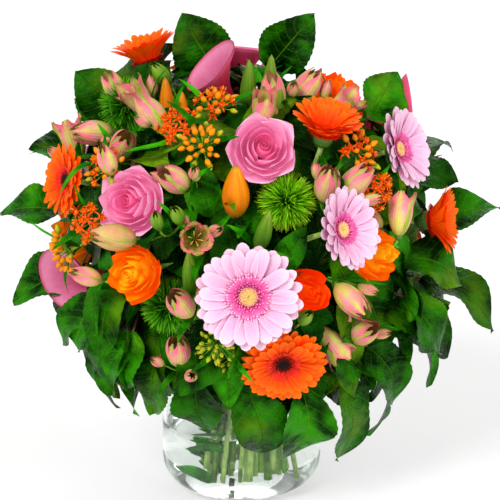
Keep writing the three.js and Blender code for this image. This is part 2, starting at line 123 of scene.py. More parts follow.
DIANTHUSES = [
    ("dianthus_upper_left", (-82, 46, 1.03)),
    ("dianthus_front", (17, 19, 0.93)),
    ("dianthus_low_left", (-28, -21, 0.93)),
    ("dianthus_back", (148, -16, 0.98)),
]

# A forked stem is (name, hub, tips).
LILIES = [
    ("lily_top", (14, 60, 0.66), [(4, 70, 1.02), (38, 72, 1.02), (24, 52, 0.98)]),
    ("lily_front", (2, 14, 0.66), [(-3, 24, 1.0), (8, 9, 1.02)]),
    ("lily_low", (-9, -26, 0.64), [(-17, -2, 1.0), (14, -16, 0.99)]),
    ("lily_upper_left", (-58, 46, 0.66), [(-54, 57, 0.99), (-36, 54, 0.94)]),
]

ALSTROEMERIAS = [
    ("alstroemeria_left", (-70, 30, 0.7), [(-82, 27, 1.07), (-70, 33, 1.05), (-49, 33, 1.0)]),
    ("alstroemeria_upper_left", (-46, 42, 0.68), [(-64, 50, 1.04), (-45, 46, 1.03)]),
    ("alstroemeria_middle", (-20, 18, 0.68), [(-22, 25, 1.04), (-13, 6, 1.0)]),
    ("alstroemeria_top", (44, 56, 0.66), [(20, 61, 1.0), (57, 46, 1.03), (50, 60, 1.03)]),
    ("alstroemeria_right", (40, 14, 0.66), [(27, 23, 1.04), (38, 22, 1.05), (56, 9, 1.04)]),
    ("alstroemeria_low_right", (37, -24, 0.66), [(34, -12, 1.05), (34, -32, 1.04), (46, -27, 1.06)]),
    ("alstroemeria_low_left", (-15, -31, 0.64), [(-18, -11, 1.04), (-24, -33, 1.04)]),
    ("alstroemeria_back", (-178, -6, 0.68), [(-178, -8, 1.02), (-168, -18, 1.02), (168, -20, 1.02)]),
]

ASCLEPIASES = [
    ("asclepias_upper", (-20, 40, 0.68), [(-12, 51, 1.03), (-27, 41, 1.03), (-14, 35, 1.0)]),
    ("asclepias_left", (-52, 12, 0.7), [(-46, 25, 1.05), (-47, 8, 1.05), (-58, -3, 1.05)]),
    ("asclepias_right", (46, 28, 0.68), [(43, 30, 1.03), (46, 17, 1.0)]),
    ("asclepias_low", (4, -44, 0.66), [(-9, -27, 1.0), (-4, -36, 0.98)]),
    ("asclepias_back", (150, 8, 0.7), [(148, 8, 1.03), (144, 20, 1.03), (-176, 28, 1.03)]),
]

# A leaf is (base, tip, width, the way its upper side looks).
LEAF_BRANCHES = [
    ("leaves_upper_left", (-102, 30, 0.7), [
        ((-108, 38, 0.84), (-102, 40, 1.17), 44, (-60, 40)),
        ((-88, 20, 0.86), (-84, 20, 1.13), 40, (-50, 40)),
        ((-118, 26, 0.84), (-126, 28, 1.18), 44, (-110, 70)),
    ]),
    ("leaves_left", (-88, -4, 0.7), [
        ((-84, 4, 0.88), (-87, 3, 1.2), 40, (-50, 50)),
        ((-90, -18, 0.86), (-84, -19, 1.23), 46, (-40, 30)),
        ((-102, -26, 0.84), (-108, -30, 1.2), 46, (-100, 60)),
    ]),
    ("leaves_low_left", (-62, -34, 0.7), [
        ((-64, -24, 0.9), (-71, -31, 1.14), 38, (-50, 40)),
        ((-54, -32, 0.92), (-54, -44, 1.2), 44, (-50, 20)),
        ((-72, -38, 0.9), (-68, -52, 1.26), 44, (-66, 20)),
    ]),
    ("leaves_low_front", (-16, -46, 0.68), [
        ((-38, -40, 0.94), (-44, -55, 1.18), 42, (-40, 20)),
        ((-20, -44, 0.98), (-18, -60, 1.22), 40, (-18, 10)),
        ((2, -46, 1.0), (13, -65, 1.34), 44, (8, 10)),
    ]),
    ("leaves_low_right", (42, -42, 0.68), [
        ((26, -46, 1.04), (25, -65, 1.38), 44, (24, 10)),
        ((46, -44, 1.04), (53, -62, 1.46), 44, (48, 10)),
        ((66, -40, 1.0), (73, -57, 1.42), 40, (66, 20)),
    ]),
    ("leaves_right", (72, -24, 0.7), [
        ((78, -16, 0.95), (80, -22, 1.4), 46, (50, 40)),
        ((62, -18, 0.95), (66, -28, 1.26), 44, (50, 30)),
        ((84, -32, 0.95), (83, -40, 1.36), 44, (70, 40)),
    ]),
    ("leaves_upper_right", (96, 16, 0.7), [
        ((94, -6, 0.92), (92, 3, 1.28), 44, (60, 50)),
        ((88, 38, 0.86), (94, 43, 1.14), 42, (50, 40)),
        ((108, 14, 0.88), (114, 14, 1.22), 44, (110, 70)),
    ]),
    ("leaves_top", (118, 62, 0.7), [
        ((-120, 80, 0.86), (-100, 74, 1.2), 48, (-20, 30)),
        ((140, 74, 0.86), (104, 70, 1.2), 44, (20, 30)),
        ((156, 54, 0.86), (160, 52, 1.16), 42, (160, 80)),
    ]),
    ("leaves_back_left", (-136, -26, 0.7), [
        ((-126, -18, 0.9), (-124, -20, 1.22), 44, (-126, 60)),
        ((-144, -30, 0.92), (-147, -44, 1.24), 46, (-145, 30)),
        ((-118, -36, 0.92), (-114, -50, 1.26), 44, (-116, 20)),
    ]),
    ("leaves_back", (178, -38, 0.7), [
        ((178, -36, 0.97), (178, -54, 1.26), 46, (178, 20)),
        ((-160, -38, 0.96), (-158, -58, 1.32), 44, (-160, 10)),
        ((156, -40, 0.96), (154, -58, 1.3), 46, (155, 10)),
    ]),
    ("leaves_back_right", (122, -30, 0.7), [
        ((108, -24, 0.92), (106, -27, 1.28), 46, (108, 60)),
        ((132, -36, 0.95), (133, -52, 1.3), 46, (132, 20)),
        ((108, -42, 0.95), (106, -56, 1.36), 44, (106, 20)),
    ]),
]


# ---- What the visual model adds to the frame's plan ----

GLASS_IOR = 1.36  # lower than real glass and water, so that the foot looks as clear as in the photo
WATER_IOR = 1.22
RAFFIA_TURNS = 7
RAFFIA_RADIUS = 0.75
BUD_SIZE = 1.08  # of an alstroemeria's buds, against the frame's plain ones
BUD_FULLNESS = 1.22  # how much further than the frame's their bellies stand out
LEAF_FULLNESS = 1.15  # a lemon leaf's width against the frame's
LEAF_LIMIT = 1.12  # how far out of the dome a stem's own leaves may reach
ROSE_LEAF_LENGTHS = (70.0, 45.0)  # where there is room for a long one, and elsewhere
DIANTHUS_BRACTS = 1150
DIANTHUS_CORE = 0.42  # the bracts' feet, as a share of the ball's radius

# How each kind of gerbera holds its rays: their slope at the foot and at the tip, in degrees.
PETAL_PITCH = {
    "large": (20, 1), "medium": (20, 1), "cupped": (34, 14), "small": (24, 6), "half_open": (62, 24),
}
CUPPED_GERBERAS = ("gerbera_pink_right", "gerbera_pink_upper_right")
RED_ROSES = ("rose_orange_top", "rose_orange_centre")
ORANGE_LILIES = (("lily_front", 0), ("lily_low", 1), ("lily_upper_left", 0), ("lily_upper_left", 1))

FILLER_LEAVES = (("deep", 200), ("outer", 430))  # how many places are tried in each layer

# The face of a flower's head, which leaves keep off: how far it stands past the stem's end, its radius,
# and how far it reaches back and forward from there.
FACE = {
    "gerbera": (16.0, 36.0, 9.0), "rose": (32.0, 25.0, 24.0),
    "calla": (62.0, 25.0, 30.0), "dianthus": (40.0, 26.0, 32.0),
}
FACE_FORWARD = 60.0
# The head as seen from the dome's centre, which the added leaves keep off: its radius in degrees, and
# how far its middle stands past the stem's end.
HEAD = {"gerbera": (3.0, 5.0), "rose": (11.0, 25.0), "calla": (9.0, 50.0), "dianthus": (10.0, 25.0)}

STEM_LOOK = {
    "gerbera": "stem_pale", "rose": "stem_rose", "calla": "stem_green", "dianthus": "stem_green",
    "lily": "stem_green", "alstroemeria": "stem_pale", "asclepias": "stem_green", "leaves": "stem_pale",
}
WOODY_BRANCHES = ("leaves_low_left", "leaves_left")  # the photo shows one brown stem, on the left

# The kinds that keep a few leaves under water, and how far from the vase's axis those may reach.
LEAFY_FEET = ("rose", "dianthus", "lily", "alstroemeria")
FOOT_LEAF_REACH = 60.0

# For each forked kind: the length of a bud, how it turns to the light (outward, upward, scatter), its
# stalk's radius, the leaves round it (how far along, length, width), its spin, and the leaves on the
# stem (count, length, width).
FORKED = {
    "lily": (LILY_BUD[1], (0.6, 0.8, 0.08), 1.4, (12, 50, 8), 1.3, (9, 62, 13)),
    "alstroemeria": (ALSTROEMERIA_BUD[1], (0.8, 0.25, 0.32), 1.1, (4, 44, 7), 1.7, (8, 66, 14)),
    "asclepias": (UMBEL_DEPTH, None, 1.1, (4, 44, 6), 2.1, (8, 58, 11)),
}
BUD_OPENINGS = (0.0, 0.05, 0.5)
UMBEL_KINDS = ("half", "open", "bud")

# How much thicker than the rest some lily buds are, by plant and tip.
PLUMP_BUDS = {("lily_front", 0): 1.6, ("lily_low", 1): 1.5, ("lily_upper_left", 1): 1.25}

# The way the tall side of each calla's funnel points.
CALLA_LIPS = {
    "calla_top": (1.0, 0.0, 0.0), "calla_left": (-0.3, 0.0, 1.0),
    "calla_right": (0.6, 0.0, 0.8), "calla_back": (-0.4, 1.0, 0.0),
}

# More buds: (plant, place, the way it points as turn and rise, kind, size, how far it is open).
EXTRA_BUDS = [
    ("alstroemeria_left", (-37, 6, 1.0), (-80, 10), "olive", 1.1, 0.0),
    ("alstroemeria_left", (-43, 26, 1.05), (-50, 70), "alstroemeria", 0.8, 0.0),
    ("alstroemeria_middle", (-24, 12, 0.98), (-20, 60), "green", 0.55, 0.0),
    ("alstroemeria_middle", (-18, 14, 0.99), (-30, 50), "green", 0.6, 0.0),
    ("alstroemeria_low_left", (-46, -6, 1.03), (-70, 20), "alstroemeria", 0.8, 0.0),
    ("alstroemeria_low_right", (18, -14, 1.02), (30, 40), "green", 0.6, 0.0),
    ("alstroemeria_upper_left", (-86, 47, 0.98), (-80, 60), "alstroemeria", 0.95, 0.1),
    ("alstroemeria_upper_left", (-62, 60, 0.98), (-70, 50), "green", 0.7, 0.0),
    ("alstroemeria_top", (10, 48, 1.0), (10, 60), "alstroemeria", 1.0, 0.3),
    ("alstroemeria_back", (-150, -6, 1.0), (-150, 20), "alstroemeria", 1.1, 0.5),
    ("alstroemeria_back", (-122, 26, 1.0), (-122, 40), "alstroemeria", 1.1, 0.3),
    ("alstroemeria_back", (170, 34, 1.0), (170, 50), "alstroemeria", 1.1, 0.6),
    ("alstroemeria_back", (106, 10, 1.0), (100, 30), "alstroemeria", 1.1, 0.1),
]

# More big leaves at the edge of the dome: (branch, base, tip, width, the way its upper side looks).
EDGE_LEAVES = [
    ("leaves_top", (-106, 54, 0.8), (-98, 69, 1.05), 46, (-60, 30)),
    ("leaves_top", (-84, 52, 0.8), (-70, 66, 1.0), 40, (-30, 30)),
    ("leaves_upper_left", (-100, 44, 0.84), (-112, 57, 1.08), 42, (-60, 40)),
    ("leaves_left", (-68, -30, 0.86), (-76, -42, 1.14), 42, (-40, 30)),
    ("leaves_low_left", (-56, -18, 0.88), (-62, -32, 1.12), 44, (-40, 20)),
    ("leaves_low_left", (-44, -30, 0.9), (-50, -44, 1.14), 42, (-40, 10)),
    ("leaves_right", (66, -8, 0.86), (76, -14, 1.16), 46, (40, 40)),
    ("leaves_right", (60, -22, 0.9), (72, -30, 1.22), 46, (40, 30)),
    ("leaves_right", (76, -26, 0.92), (80, -32, 1.3), 44, (50, 30)),
    ("leaves_low_right", (52, -34, 0.98), (62, -44, 1.3), 44, (45, 20)),
    ("leaves_upper_right", (88, 16, 0.84), (84, 12, 1.1), 40, (40, 40)),
]


# ---- Places and directions ----

GOLDEN_ANGLE = 2.39996
FULL_TURN = 6.28  # in radians, to two places, for turns that chance decides


def unit(vector):
    return vector / np.linalg.norm(vector)


def direction(turn, rise):
    a, e = math.radians(turn), math.radians(rise)
    return np.array([math.cos(e) * math.sin(a), -math.cos(e) * math.cos(a), math.sin(e)])


def place(turn, rise, reach):
    e = math.radians(rise)
    surface = 1 / math.hypot(math.cos(e) / DOME_RADIUS, math.sin(e) / DOME_HALF_HEIGHT)
    return DOME_CENTRE + direction(turn, rise) * surface * reach


def reach_of(point):
    """The share of the way from the middle of the dome to its surface."""
    return np.linalg.norm((point - DOME_CENTRE) / (DOME_RADIUS, DOME_RADIUS, DOME_HALF_HEIGHT))


def dice(name):
    """Random numbers that are the same on every run for one name."""
    return np.random.default_rng([ord(letter) for letter in name])


def facing_frame(facing, spin=0.0):
    """A 3 by 3 turn whose third column is facing, spun about it."""
    side = np.cross((0, 0, 1), facing)
    side = unit(side) if np.linalg.norm(side) > 1e-6 else np.array([1.0, 0, 0])
    other = np.cross(facing, side)
    c, s = math.cos(spin), math.sin(spin)
    return np.stack([c * side + s * other, c * other - s * side, facing], axis=1)


def polar(radius, angle, height):
    """Points round an axis, as one array whose last side is x, y, z."""
    return np.stack(np.broadcast_arrays(radius * np.cos(angle), radius * np.sin(angle), height), axis=-1)


def ball_direction(z, i):
    """The direction of height z that the i-th step of a golden spiral round a ball has."""
    a = i * GOLDEN_ANGLE
    flat = math.sqrt(1 - z * z)
    return np.array([flat * math.cos(a), flat * math.sin(a), z])


def shares(rows, cols):
    """The share along each row from 0 to 1, and across each column from -1 to 1."""
    return np.linspace(0, 1, rows)[:, None], np.linspace(-1, 1, cols)[None, :]


def smooth(low, high, x):
    t = np.clip((x - low) / (high - low), 0, 1)
    return t * t * (3 - 2 * t)


# ---- Meshes from grids of points ----

class Shape:
    """Gathers grids of points into one mesh. mark holds each point's place along and across its
    petal or leaf, and a number that is the same all over one petal."""

    def __init__(self, name):
        self.name = name
        self.dice = dice(name)
        self.points, self.marks, self.quads, self.looks = [], [], [], []
        self.count = 0
        self.materials = []
        self.turn = np.eye(3)
        self.origin = np.zeros(3)

    def stand(self, origin=(0, 0, 0), turn=None):
        """What follows is placed at origin with this turn; without them it is in the row's own frame."""
        self.origin = np.asarray(origin, float)
        self.turn = np.eye(3) if turn is None else turn

    def grid(self, points, u, v, look, tint=None, ring=False):
        """Adds a rows by columns grid; ring joins its last column to its first."""
        rows, cols = points.shape[:2]
        if look not in self.materials:
            self.materials.append(look)
        tint = self.dice.random() if tint is None else tint
        world = points.reshape(-1, 3) @ self.turn.T + self.origin
        u = np.broadcast_to(u, (rows, cols)).ravel()
        v = np.broadcast_to(v, (rows, cols)).ravel()
        index = self.count + np.arange(rows * cols).reshape(rows, cols)
        if ring:
            index = np.concatenate([index, index[:, :1]], axis=1)
        quads = np.stack([index[:-1, :-1], index[:-1, 1:], index[1:, 1:], index[1:, :-1]], -1)
        quads = quads.reshape(-1, 4)
        self.points.append(world)
        self.marks.append(np.stack([u, v, np.full(rows * cols, tint)], axis=1))
        self.quads.append(quads)
        self.looks.append(np.full(len(quads), self.materials.index(look)))
        self.count += rows * cols

    def build(self):
        points = np.concatenate(self.points) * MM
        quads = np.concatenate(self.quads)
        looks = np.concatenate(self.looks)
        mesh = bpy.data.meshes.new(self.name)
        mesh.vertices.add(len(points))
        mesh.vertices.foreach_set("co", points.ravel())
        mesh.loops.add(quads.size)
        mesh.loops.foreach_set("vertex_index", quads.ravel().astype(np.int32))
        mesh.polygons.add(len(quads))
        mesh.polygons.foreach_set("loop_start", np.arange(0, quads.size, 4, dtype=np.int32))
        mesh.polygons.foreach_set("use_smooth", np.ones(len(quads), bool))
        mesh.polygons.foreach_set("material_index", looks.astype(np.int32))
        mesh.update(calc_edges=True)
        mark = mesh.attributes.new("mark", "FLOAT_VECTOR", "POINT")
        mark.data.foreach_set("vector", np.concatenate(self.marks).ravel())
        for look in self.materials:
            mesh.materials.append(MATERIALS[look])
        mesh.validate()
        piece = bpy.data.objects.new(self.name, mesh)
        bpy.context.scene.collection.objects.link(piece)
        return piece


# ---- Materials ----

def rgb(red, green, blue):
    """A screen colour from 0 to 255 as a linear one."""
    def linear(value):
        value /= 255
        return value / 12.92 if value <= 0.04045 else ((value + 0.055) / 1.055) ** 2.4
    return (linear(red), linear(green), linear(blue), 1.0)


class Nodes:
    """A short way to write a node tree."""

    def __init__(self, name):
        self.material = bpy.data.materials.new(name)
        self.material.use_nodes = True
        self.tree = self.material.node_tree
        self.shader = self.tree.nodes["Principled BSDF"]

    def add(self, kind, **settings):
        node = self.tree.nodes.new(kind)
        for key, value in settings.items():
            setattr(node, key, value)
        return node

    def link(self, value, socket):
        if hasattr(value, "is_output"):
            self.tree.links.new(value, socket)
        else:
            socket.default_value = value

    def maths(self, operation, *values, clamp=False):
        node = self.add("ShaderNodeMath", operation=operation, use_clamp=clamp)
        for value, socket in zip(values, node.inputs):
            self.link(value, socket)
        return node.outputs[0]

    def ramp(self, value, stops):
        node = self.add("ShaderNodeValToRGB")
        ramp = node.color_ramp
        while len(ramp.elements) < len(stops):
            ramp.elements.new(0.5)
        for element, (position, colour) in zip(ramp.elements, stops):
            element.position = position
            element.color = colour
        self.link(value, node.inputs[0])
        return node.outputs["Color"]

    def mix(self, share, a, b, blend="MIX"):
        node = self.add("ShaderNodeMix", data_type="RGBA", blend_type=blend)
        self.link(share, node.inputs["Factor"])
        self.link(a, node.inputs["A"])
        self.link(b, node.inputs["B"])
        return node.outputs["Result"]

    def marks(self):
        """Along, across and tint, as three values."""
        mark = self.add("ShaderNodeAttribute", attribute_name="mark")
        parts = self.add("ShaderNodeSeparateXYZ")
        self.tree.links.new(mark.outputs["Vector"], parts.inputs[0])
        return parts.outputs["X"], parts.outputs["Y"], parts.outputs["Z"]

    def noise(self, scale, detail=3.0):
        spot = self.add("ShaderNodeTexCoord").outputs["Object"]
        node = self.add("ShaderNodeTexNoise")
        self.tree.links.new(spot, node.inputs["Vector"])
        node.inputs["Scale"].default_value = scale
        node.inputs["Detail"].default_value = detail
        return node.outputs["Fac"]

    def bump(self, height, strength, distance):
        node = self.add("ShaderNodeBump")
        node.inputs["Strength"].default_value = strength
        node.inputs["Distance"].default_value = distance
        self.link(height, node.inputs["Height"])
        self.tree.links.new(node.outputs["Normal"], self.shader.inputs["Normal"])

    def finish(self, colour, roughness, **sockets):
        self.link(colour, self.shader.inputs["Base Color"])
        self.link(roughness, self.shader.inputs["Roughness"])
        for key, value in sockets.items():
            self.shader.inputs[key.replace("_", " ")].default_value = value
        return self.material


def petal(name, along, edge=None, edge_share=0.6, spread=0.22, grooves=3.0, rough=0.5, mottle=0.12,
          keel=None, relief=0.35, specular=0.22, painted_glow=None):
    """Colour along the petal, another at its edges or down its middle, fine grooves and soft mottling.
    glow sets emission: painted light in the colour and strength of the light that would come through a thin
    petal."""
    n = Nodes(name)
    u, v, tint = n.marks()
    colour = n.ramp(u, [(at, rgb(*tone)) for at, *tone in along])
    across = n.maths("ABSOLUTE", v)
    if edge is not None:
        near_edge = n.maths("MULTIPLY", n.maths("POWER", across, 3.0), edge_share)
        colour = n.mix(near_edge, colour, rgb(*edge))
    if keel is not None:
        blotch = n.maths("SUBTRACT", n.noise(95.0, 4.0), 0.45)
        near_middle = n.maths("SUBTRACT", 0.75, n.maths("MULTIPLY", across, 1.5))
        middle = n.maths("MULTIPLY_ADD", blotch, 2.6, near_middle)
        colour = n.mix(n.maths("MULTIPLY", middle, 0.9, clamp=True), colour, rgb(*keel))
    bright = n.maths("MULTIPLY_ADD", tint, 2 * spread, 1 - spread)
    grain = n.maths("MULTIPLY_ADD", n.noise(240.0), 2 * mottle, 1 - mottle)
    colour = n.mix(1.0, colour, n.maths("MULTIPLY", bright, grain), "MULTIPLY")
    wave = n.maths("SINE", n.maths("MULTIPLY", v, grooves * 2 * math.pi))
    n.bump(n.maths("ADD", wave, n.noise(900.0, 2.0)), relief, 0.0004)
    sockets = {"Specular_IOR_Level": specular}
    # Emission is painted light, standing in for light that comes through the thin petal.
    if painted_glow is not None:
        *tone, strength = painted_glow
        sockets.update(Emission_Color=rgb(*tone), Emission_Strength=strength)
    return n.finish(colour, rough, **sockets)


def leaf(name, dark, light, vein, rough=0.3, veins=8.0, patch=None):
    """A pale midrib and side veins, mottled green between them, and puckered relief."""
    spread, vein_share = 0.4, 0.5
    n = Nodes(name)
    u, v, tint = n.marks()
    across = n.maths("ABSOLUTE", v)
    slant = n.maths("SUBTRACT", u, n.maths("MULTIPLY", n.maths("POWER", across, 1.4), 0.20))
    comb = n.maths("FRACT", n.maths("MULTIPLY", slant, veins))
    comb = n.maths("ABSOLUTE", n.maths("SUBTRACT", comb, 0.5))
    side_vein = n.maths("SUBTRACT", 1.0, n.maths("MULTIPLY", comb, 11.0), clamp=True)
    midrib = n.maths("SUBTRACT", 1.0, n.maths("MULTIPLY", across, 20.0), clamp=True)
    lines = n.maths("MAXIMUM", n.maths("MULTIPLY", side_vein, 0.35), midrib)
    colour = n.ramp(n.noise(38.0, 6.0), [(0.40, rgb(*dark)), (0.60, rgb(*light))])
    if patch is not None:
        pale = n.maths("MULTIPLY", n.maths("SUBTRACT", n.noise(17.0, 3.0), 0.56), 5.0, clamp=True)
        colour = n.mix(n.maths("MULTIPLY", pale, 0.75), colour, rgb(*patch))
    colour = n.mix(n.maths("MULTIPLY", lines, vein_share), colour, rgb(*vein))
    bright = n.maths("MULTIPLY_ADD", tint, 2 * spread, 1 - spread)
    colour = n.mix(1.0, colour, bright, "MULTIPLY")
    pucker = n.maths("MULTIPLY", n.noise(150.0, 4.0), 2.6)
    n.bump(n.maths("SUBTRACT", pucker, lines), 1.0, 0.0012)
    gloss = n.maths("MULTIPLY_ADD", n.noise(70.0, 4.0), 0.3, rough - 0.15)
    return n.finish(colour, gloss, Specular_IOR_Level=0.12, Specular_Tint=(0.45, 0.95, 0.35, 1.0))


def bark(name, low, high, rough=0.5, scale=120.0, streaks=5.0):
    """A stem's skin: mottled and streaked lengthwise, with a slightly uneven surface."""
    n = Nodes(name)
    _, v, _ = n.marks()
    streak = n.maths("SINE", n.maths("MULTIPLY", v, streaks * 2 * math.pi))
    share = n.maths("MULTIPLY_ADD", streak, 0.08, n.noise(scale, 4.0))
    colour = n.ramp(share, [(0.3, rgb(*low)), (0.7, rgb(*high))])
    n.bump(n.maths("ADD", n.noise(scale * 5, 3.0), n.maths("MULTIPLY", streak, 0.5)), 0.4, 0.0005)
    return n.finish(colour, rough)


def clear(name, tint, ior, waviness):
    """Glass or water: clear all through, with faint unevenness."""
    n = Nodes(name)
    n.bump(n.noise(18.0, 1.0), waviness, 0.0006)
    return n.finish(tint, 0.0, Transmission_Weight=1.0, IOR=ior)


# The colours from foot to tip as (share, red, green, blue), and what differs from petal's usual look.
# Where an entry gives glow, that is emission: painted light standing in for light through the thin petal.
PETALS = {
    "gerbera_pink": dict(along=[(0.0, 226, 100, 165), (0.3, 242, 160, 206), (0.7, 248, 186, 220),
        (1.0, 250, 214, 233)], edge=(251, 222, 238), edge_share=0.5, spread=0.07, mottle=0.05,
        specular=0.12),
    "gerbera_pink_ring": dict(along=[(0.0, 205, 35, 120), (0.55, 232, 80, 155), (0.85, 240, 120, 180),
        (1.0, 255, 225, 240)], spread=0.18, relief=0.1),
    "gerbera_pink_disc": dict(along=[(0.0, 120, 130, 40), (0.14, 245, 205, 110), (0.7, 250, 212, 140),
        (1.0, 250, 150, 150)], spread=0.16, relief=0.1),
    "gerbera_orange": dict(along=[(0.0, 224, 20, 0), (0.4, 248, 52, 0), (0.75, 255, 88, 0),
        (1.0, 255, 112, 0)], edge=(255, 124, 4), edge_share=0.35, spread=0.14, mottle=0.09, specular=0.12,
        painted_glow=(255, 84, 0, 0.08)),
    "gerbera_orange_ring": dict(along=[(0.0, 170, 10, 2), (0.6, 235, 30, 3), (1.0, 250, 60, 8)],
        spread=0.25, relief=0.1),
    "gerbera_orange_disc": dict(along=[(0.0, 20, 5, 6), (0.6, 38, 6, 8), (1.0, 110, 12, 8)], spread=0.4,
        rough=0.7, relief=0.1),
    "rose_pink": dict(along=[(0.0, 250, 92, 156), (0.2, 252, 150, 198), (0.5, 253, 182, 216),
        (1.0, 254, 208, 230)], edge=(255, 224, 238), edge_share=0.4, spread=0.04, grooves=6.0, mottle=0.05,
        rough=0.6, relief=0.12, painted_glow=(255, 140, 195, 0.08), specular=0.1),
    "rose_orange": dict(along=[(0.0, 255, 226, 40), (0.34, 255, 196, 14), (0.6, 255, 150, 4),
        (1.0, 254, 74, 2)], edge=(252, 58, 0), edge_share=0.6, spread=0.06, grooves=6.0, mottle=0.07,
        rough=0.6, relief=0.12, painted_glow=(255, 120, 2, 0.12), specular=0.1),
    "rose_red": dict(along=[(0.0, 255, 130, 10), (0.5, 255, 96, 4), (1.0, 252, 64, 2)], edge=(254, 124, 20),
        edge_share=0.5, spread=0.1, grooves=6.0, rough=0.6, relief=0.12, painted_glow=(255, 80, 2, 0.14),
        specular=0.1),
    "calla_inside": dict(along=[(0.0, 96, 14, 44), (0.55, 168, 54, 96), (0.86, 212, 112, 152),
        (0.96, 226, 140, 174), (1.0, 210, 92, 134)], spread=0.06, grooves=9.0, rough=0.45, relief=0.2,
        painted_glow=(225, 110, 150, 0.04), specular=0.15),
    "calla_outside": dict(along=[(0.0, 110, 130, 50), (0.2, 176, 30, 56), (0.8, 226, 40, 80),
        (1.0, 234, 92, 132)], spread=0.06, grooves=9.0, rough=0.45, relief=0.2, painted_glow=(220, 70, 120, 0.06),
        specular=0.15),
    "spadix": dict(along=[(0.0, 245, 190, 80), (1.0, 250, 215, 110)], spread=0.1),
    "dianthus": dict(along=[(0.0, 4, 60, 0), (0.5, 52, 146, 4), (1.0, 122, 214, 22)], spread=0.35,
        grooves=1.0, relief=0.1),
    "dianthus_bright": dict(along=[(0.0, 30, 110, 0), (0.5, 112, 200, 4), (1.0, 186, 242, 34)], spread=0.3,
        grooves=1.0, relief=0.1),
    "lily_green": dict(along=[(0.0, 52, 105, 12), (0.6, 105, 155, 25), (1.0, 140, 165, 45)],
        edge=(60, 115, 15), spread=0.12, grooves=2.0, rough=0.4),
    "lily_orange": dict(along=[(0.0, 120, 130, 15), (0.3, 235, 140, 8), (0.75, 250, 152, 5),
        (0.93, 230, 160, 20), (1.0, 105, 130, 20)], edge=(220, 85, 4), spread=0.12, grooves=2.0, rough=0.4),
    "alstroemeria": dict(along=[(0.0, 150, 180, 50), (0.22, 232, 190, 120), (0.5, 248, 158, 156),
        (0.88, 244, 104, 130), (1.0, 120, 140, 40)], edge=(248, 118, 140), keel=(206, 206, 96), spread=0.12,
        grooves=4.0, rough=0.45),
    "alstroemeria_keel": dict(along=[(0.0, 130, 172, 40), (0.4, 214, 210, 100), (0.75, 240, 186, 124),
        (1.0, 104, 148, 34)], edge=(246, 124, 138), edge_share=0.9, keel=(158, 190, 48), spread=0.12,
        grooves=4.0, rough=0.45),
    "bud_olive": dict(along=[(0.0, 120, 140, 50), (0.4, 190, 180, 90), (0.8, 222, 190, 120),
        (1.0, 225, 140, 120)], edge=(170, 150, 60), keel=(224, 150, 110), spread=0.12, grooves=4.0,
        rough=0.5),
    "asclepias_flower": dict(along=[(0.0, 235, 70, 2), (1.0, 252, 100, 4)], spread=0.14, grooves=1.0,
        rough=0.4, relief=0.1),
    "asclepias_hood": dict(along=[(0.0, 245, 95, 4), (1.0, 255, 138, 10)], spread=0.12, grooves=1.0,
        rough=0.4, relief=0.1),
    "asclepias_bud": dict(along=[(0.0, 190, 150, 10), (0.35, 250, 165, 12), (0.8, 250, 140, 10),
        (1.0, 240, 95, 6)], spread=0.14, grooves=2.5, rough=0.35),
    "asclepias_green": dict(along=[(0.0, 110, 140, 20), (0.5, 180, 190, 30), (1.0, 215, 200, 40)],
        spread=0.16, grooves=2.5, rough=0.35),
    "calyx": dict(along=[(0.0, 42, 90, 22), (1.0, 100, 145, 60)], spread=0.25, grooves=1.0),
}

MATERIALS = {name: petal(name, **look) for name, look in PETALS.items()}
MATERIALS.update(
    lemon_leaf=leaf("lemon_leaf", (2, 38, 0), (40, 122, 2), (96, 164, 24), patch=(104, 156, 6)),
    lemon_leaf_back=leaf("lemon_leaf_back", (54, 98, 2), (104, 148, 8), (140, 176, 50), rough=0.5),
    rose_leaf=leaf("rose_leaf", (0, 44, 2), (16, 92, 6), (50, 120, 24), rough=0.45),
    narrow_leaf=leaf("narrow_leaf", (12, 92, 0), (56, 158, 4), (110, 190, 30), rough=0.42, veins=4.0),
    stem_green=bark("stem_green", (84, 158, 14), (148, 208, 48)),
    stem_pale=bark("stem_pale", (140, 192, 66), (200, 230, 128)),
    stem_rose=bark("stem_rose", (60, 122, 20), (118, 160, 44)),
    stem_woody=bark("stem_woody", (92, 48, 38), (146, 100, 72), rough=0.7),
    twig=bark("twig", (16, 48, 6), (44, 84, 16), rough=0.7),
    raffia=bark("raffia", (150, 120, 70), (205, 178, 120), rough=0.8, scale=300.0, streaks=9.0),
    glass=clear("glass", (0.965, 0.995, 0.975, 1.0), GLASS_IOR, 0.05),
    water=clear("water", (0.98, 0.995, 0.98, 1.0), WATER_IOR, 0.03),
)


# ---- Keeping leaves off the flowers ----

def faces(plants):
    """(middle, facing, radius, back) of every flower's face, so that leaves keep off it."""
    found = []
    for plant in plants:
        if plant.kind in FACE:
            depth, radius, back = FACE[plant.kind]
            found.append((plant.end + plant.facing * depth, plant.facing, radius, back))
    return found


def hides_a_face(start, end):
    """Whether the line from start to end runs through a flower's head or just over its face."""
    spots = start + np.linspace(0, 1, 6)[:, None] * (end - start)
    for middle, facing, radius, back in FACES:
        gap = spots - middle
        ahead = gap @ facing
        aside = np.linalg.norm(gap - ahead[:, None] * facing, axis=1)
        if np.any((ahead > -back) & (ahead < FACE_FORWARD) & (aside < radius)):
            return True
    return False


def heads(plants):
    """(direction from the dome's centre, angular size) of every flower, so that leaves keep off them."""
    found = []
    for plant in plants:
        if plant.kind in HEAD:
            size, depth = HEAD[plant.kind]
            found.append((unit(plant.end + plant.facing * depth - DOME_CENTRE), math.radians(size)))
    return found


# ---- Small building blocks, in the frame that the shape now stands in ----

def rounded(u):
    """A strap outline: narrow at its base, full further out, with a round tip."""
    narrow, full, round_from = 0.45, 0.55, 0.76
    body = narrow + (1 - narrow) * smooth(0.0, full, u)
    tip = np.sqrt(np.clip(1 - np.clip((u - round_from) / (1 - round_from), 0, 1) ** 2.2, 0, 1))
    return body * np.maximum(tip, 0.14)


def pointed(u):
    """A lobe that narrows evenly to its tip."""
    return 1 - 0.8 * u


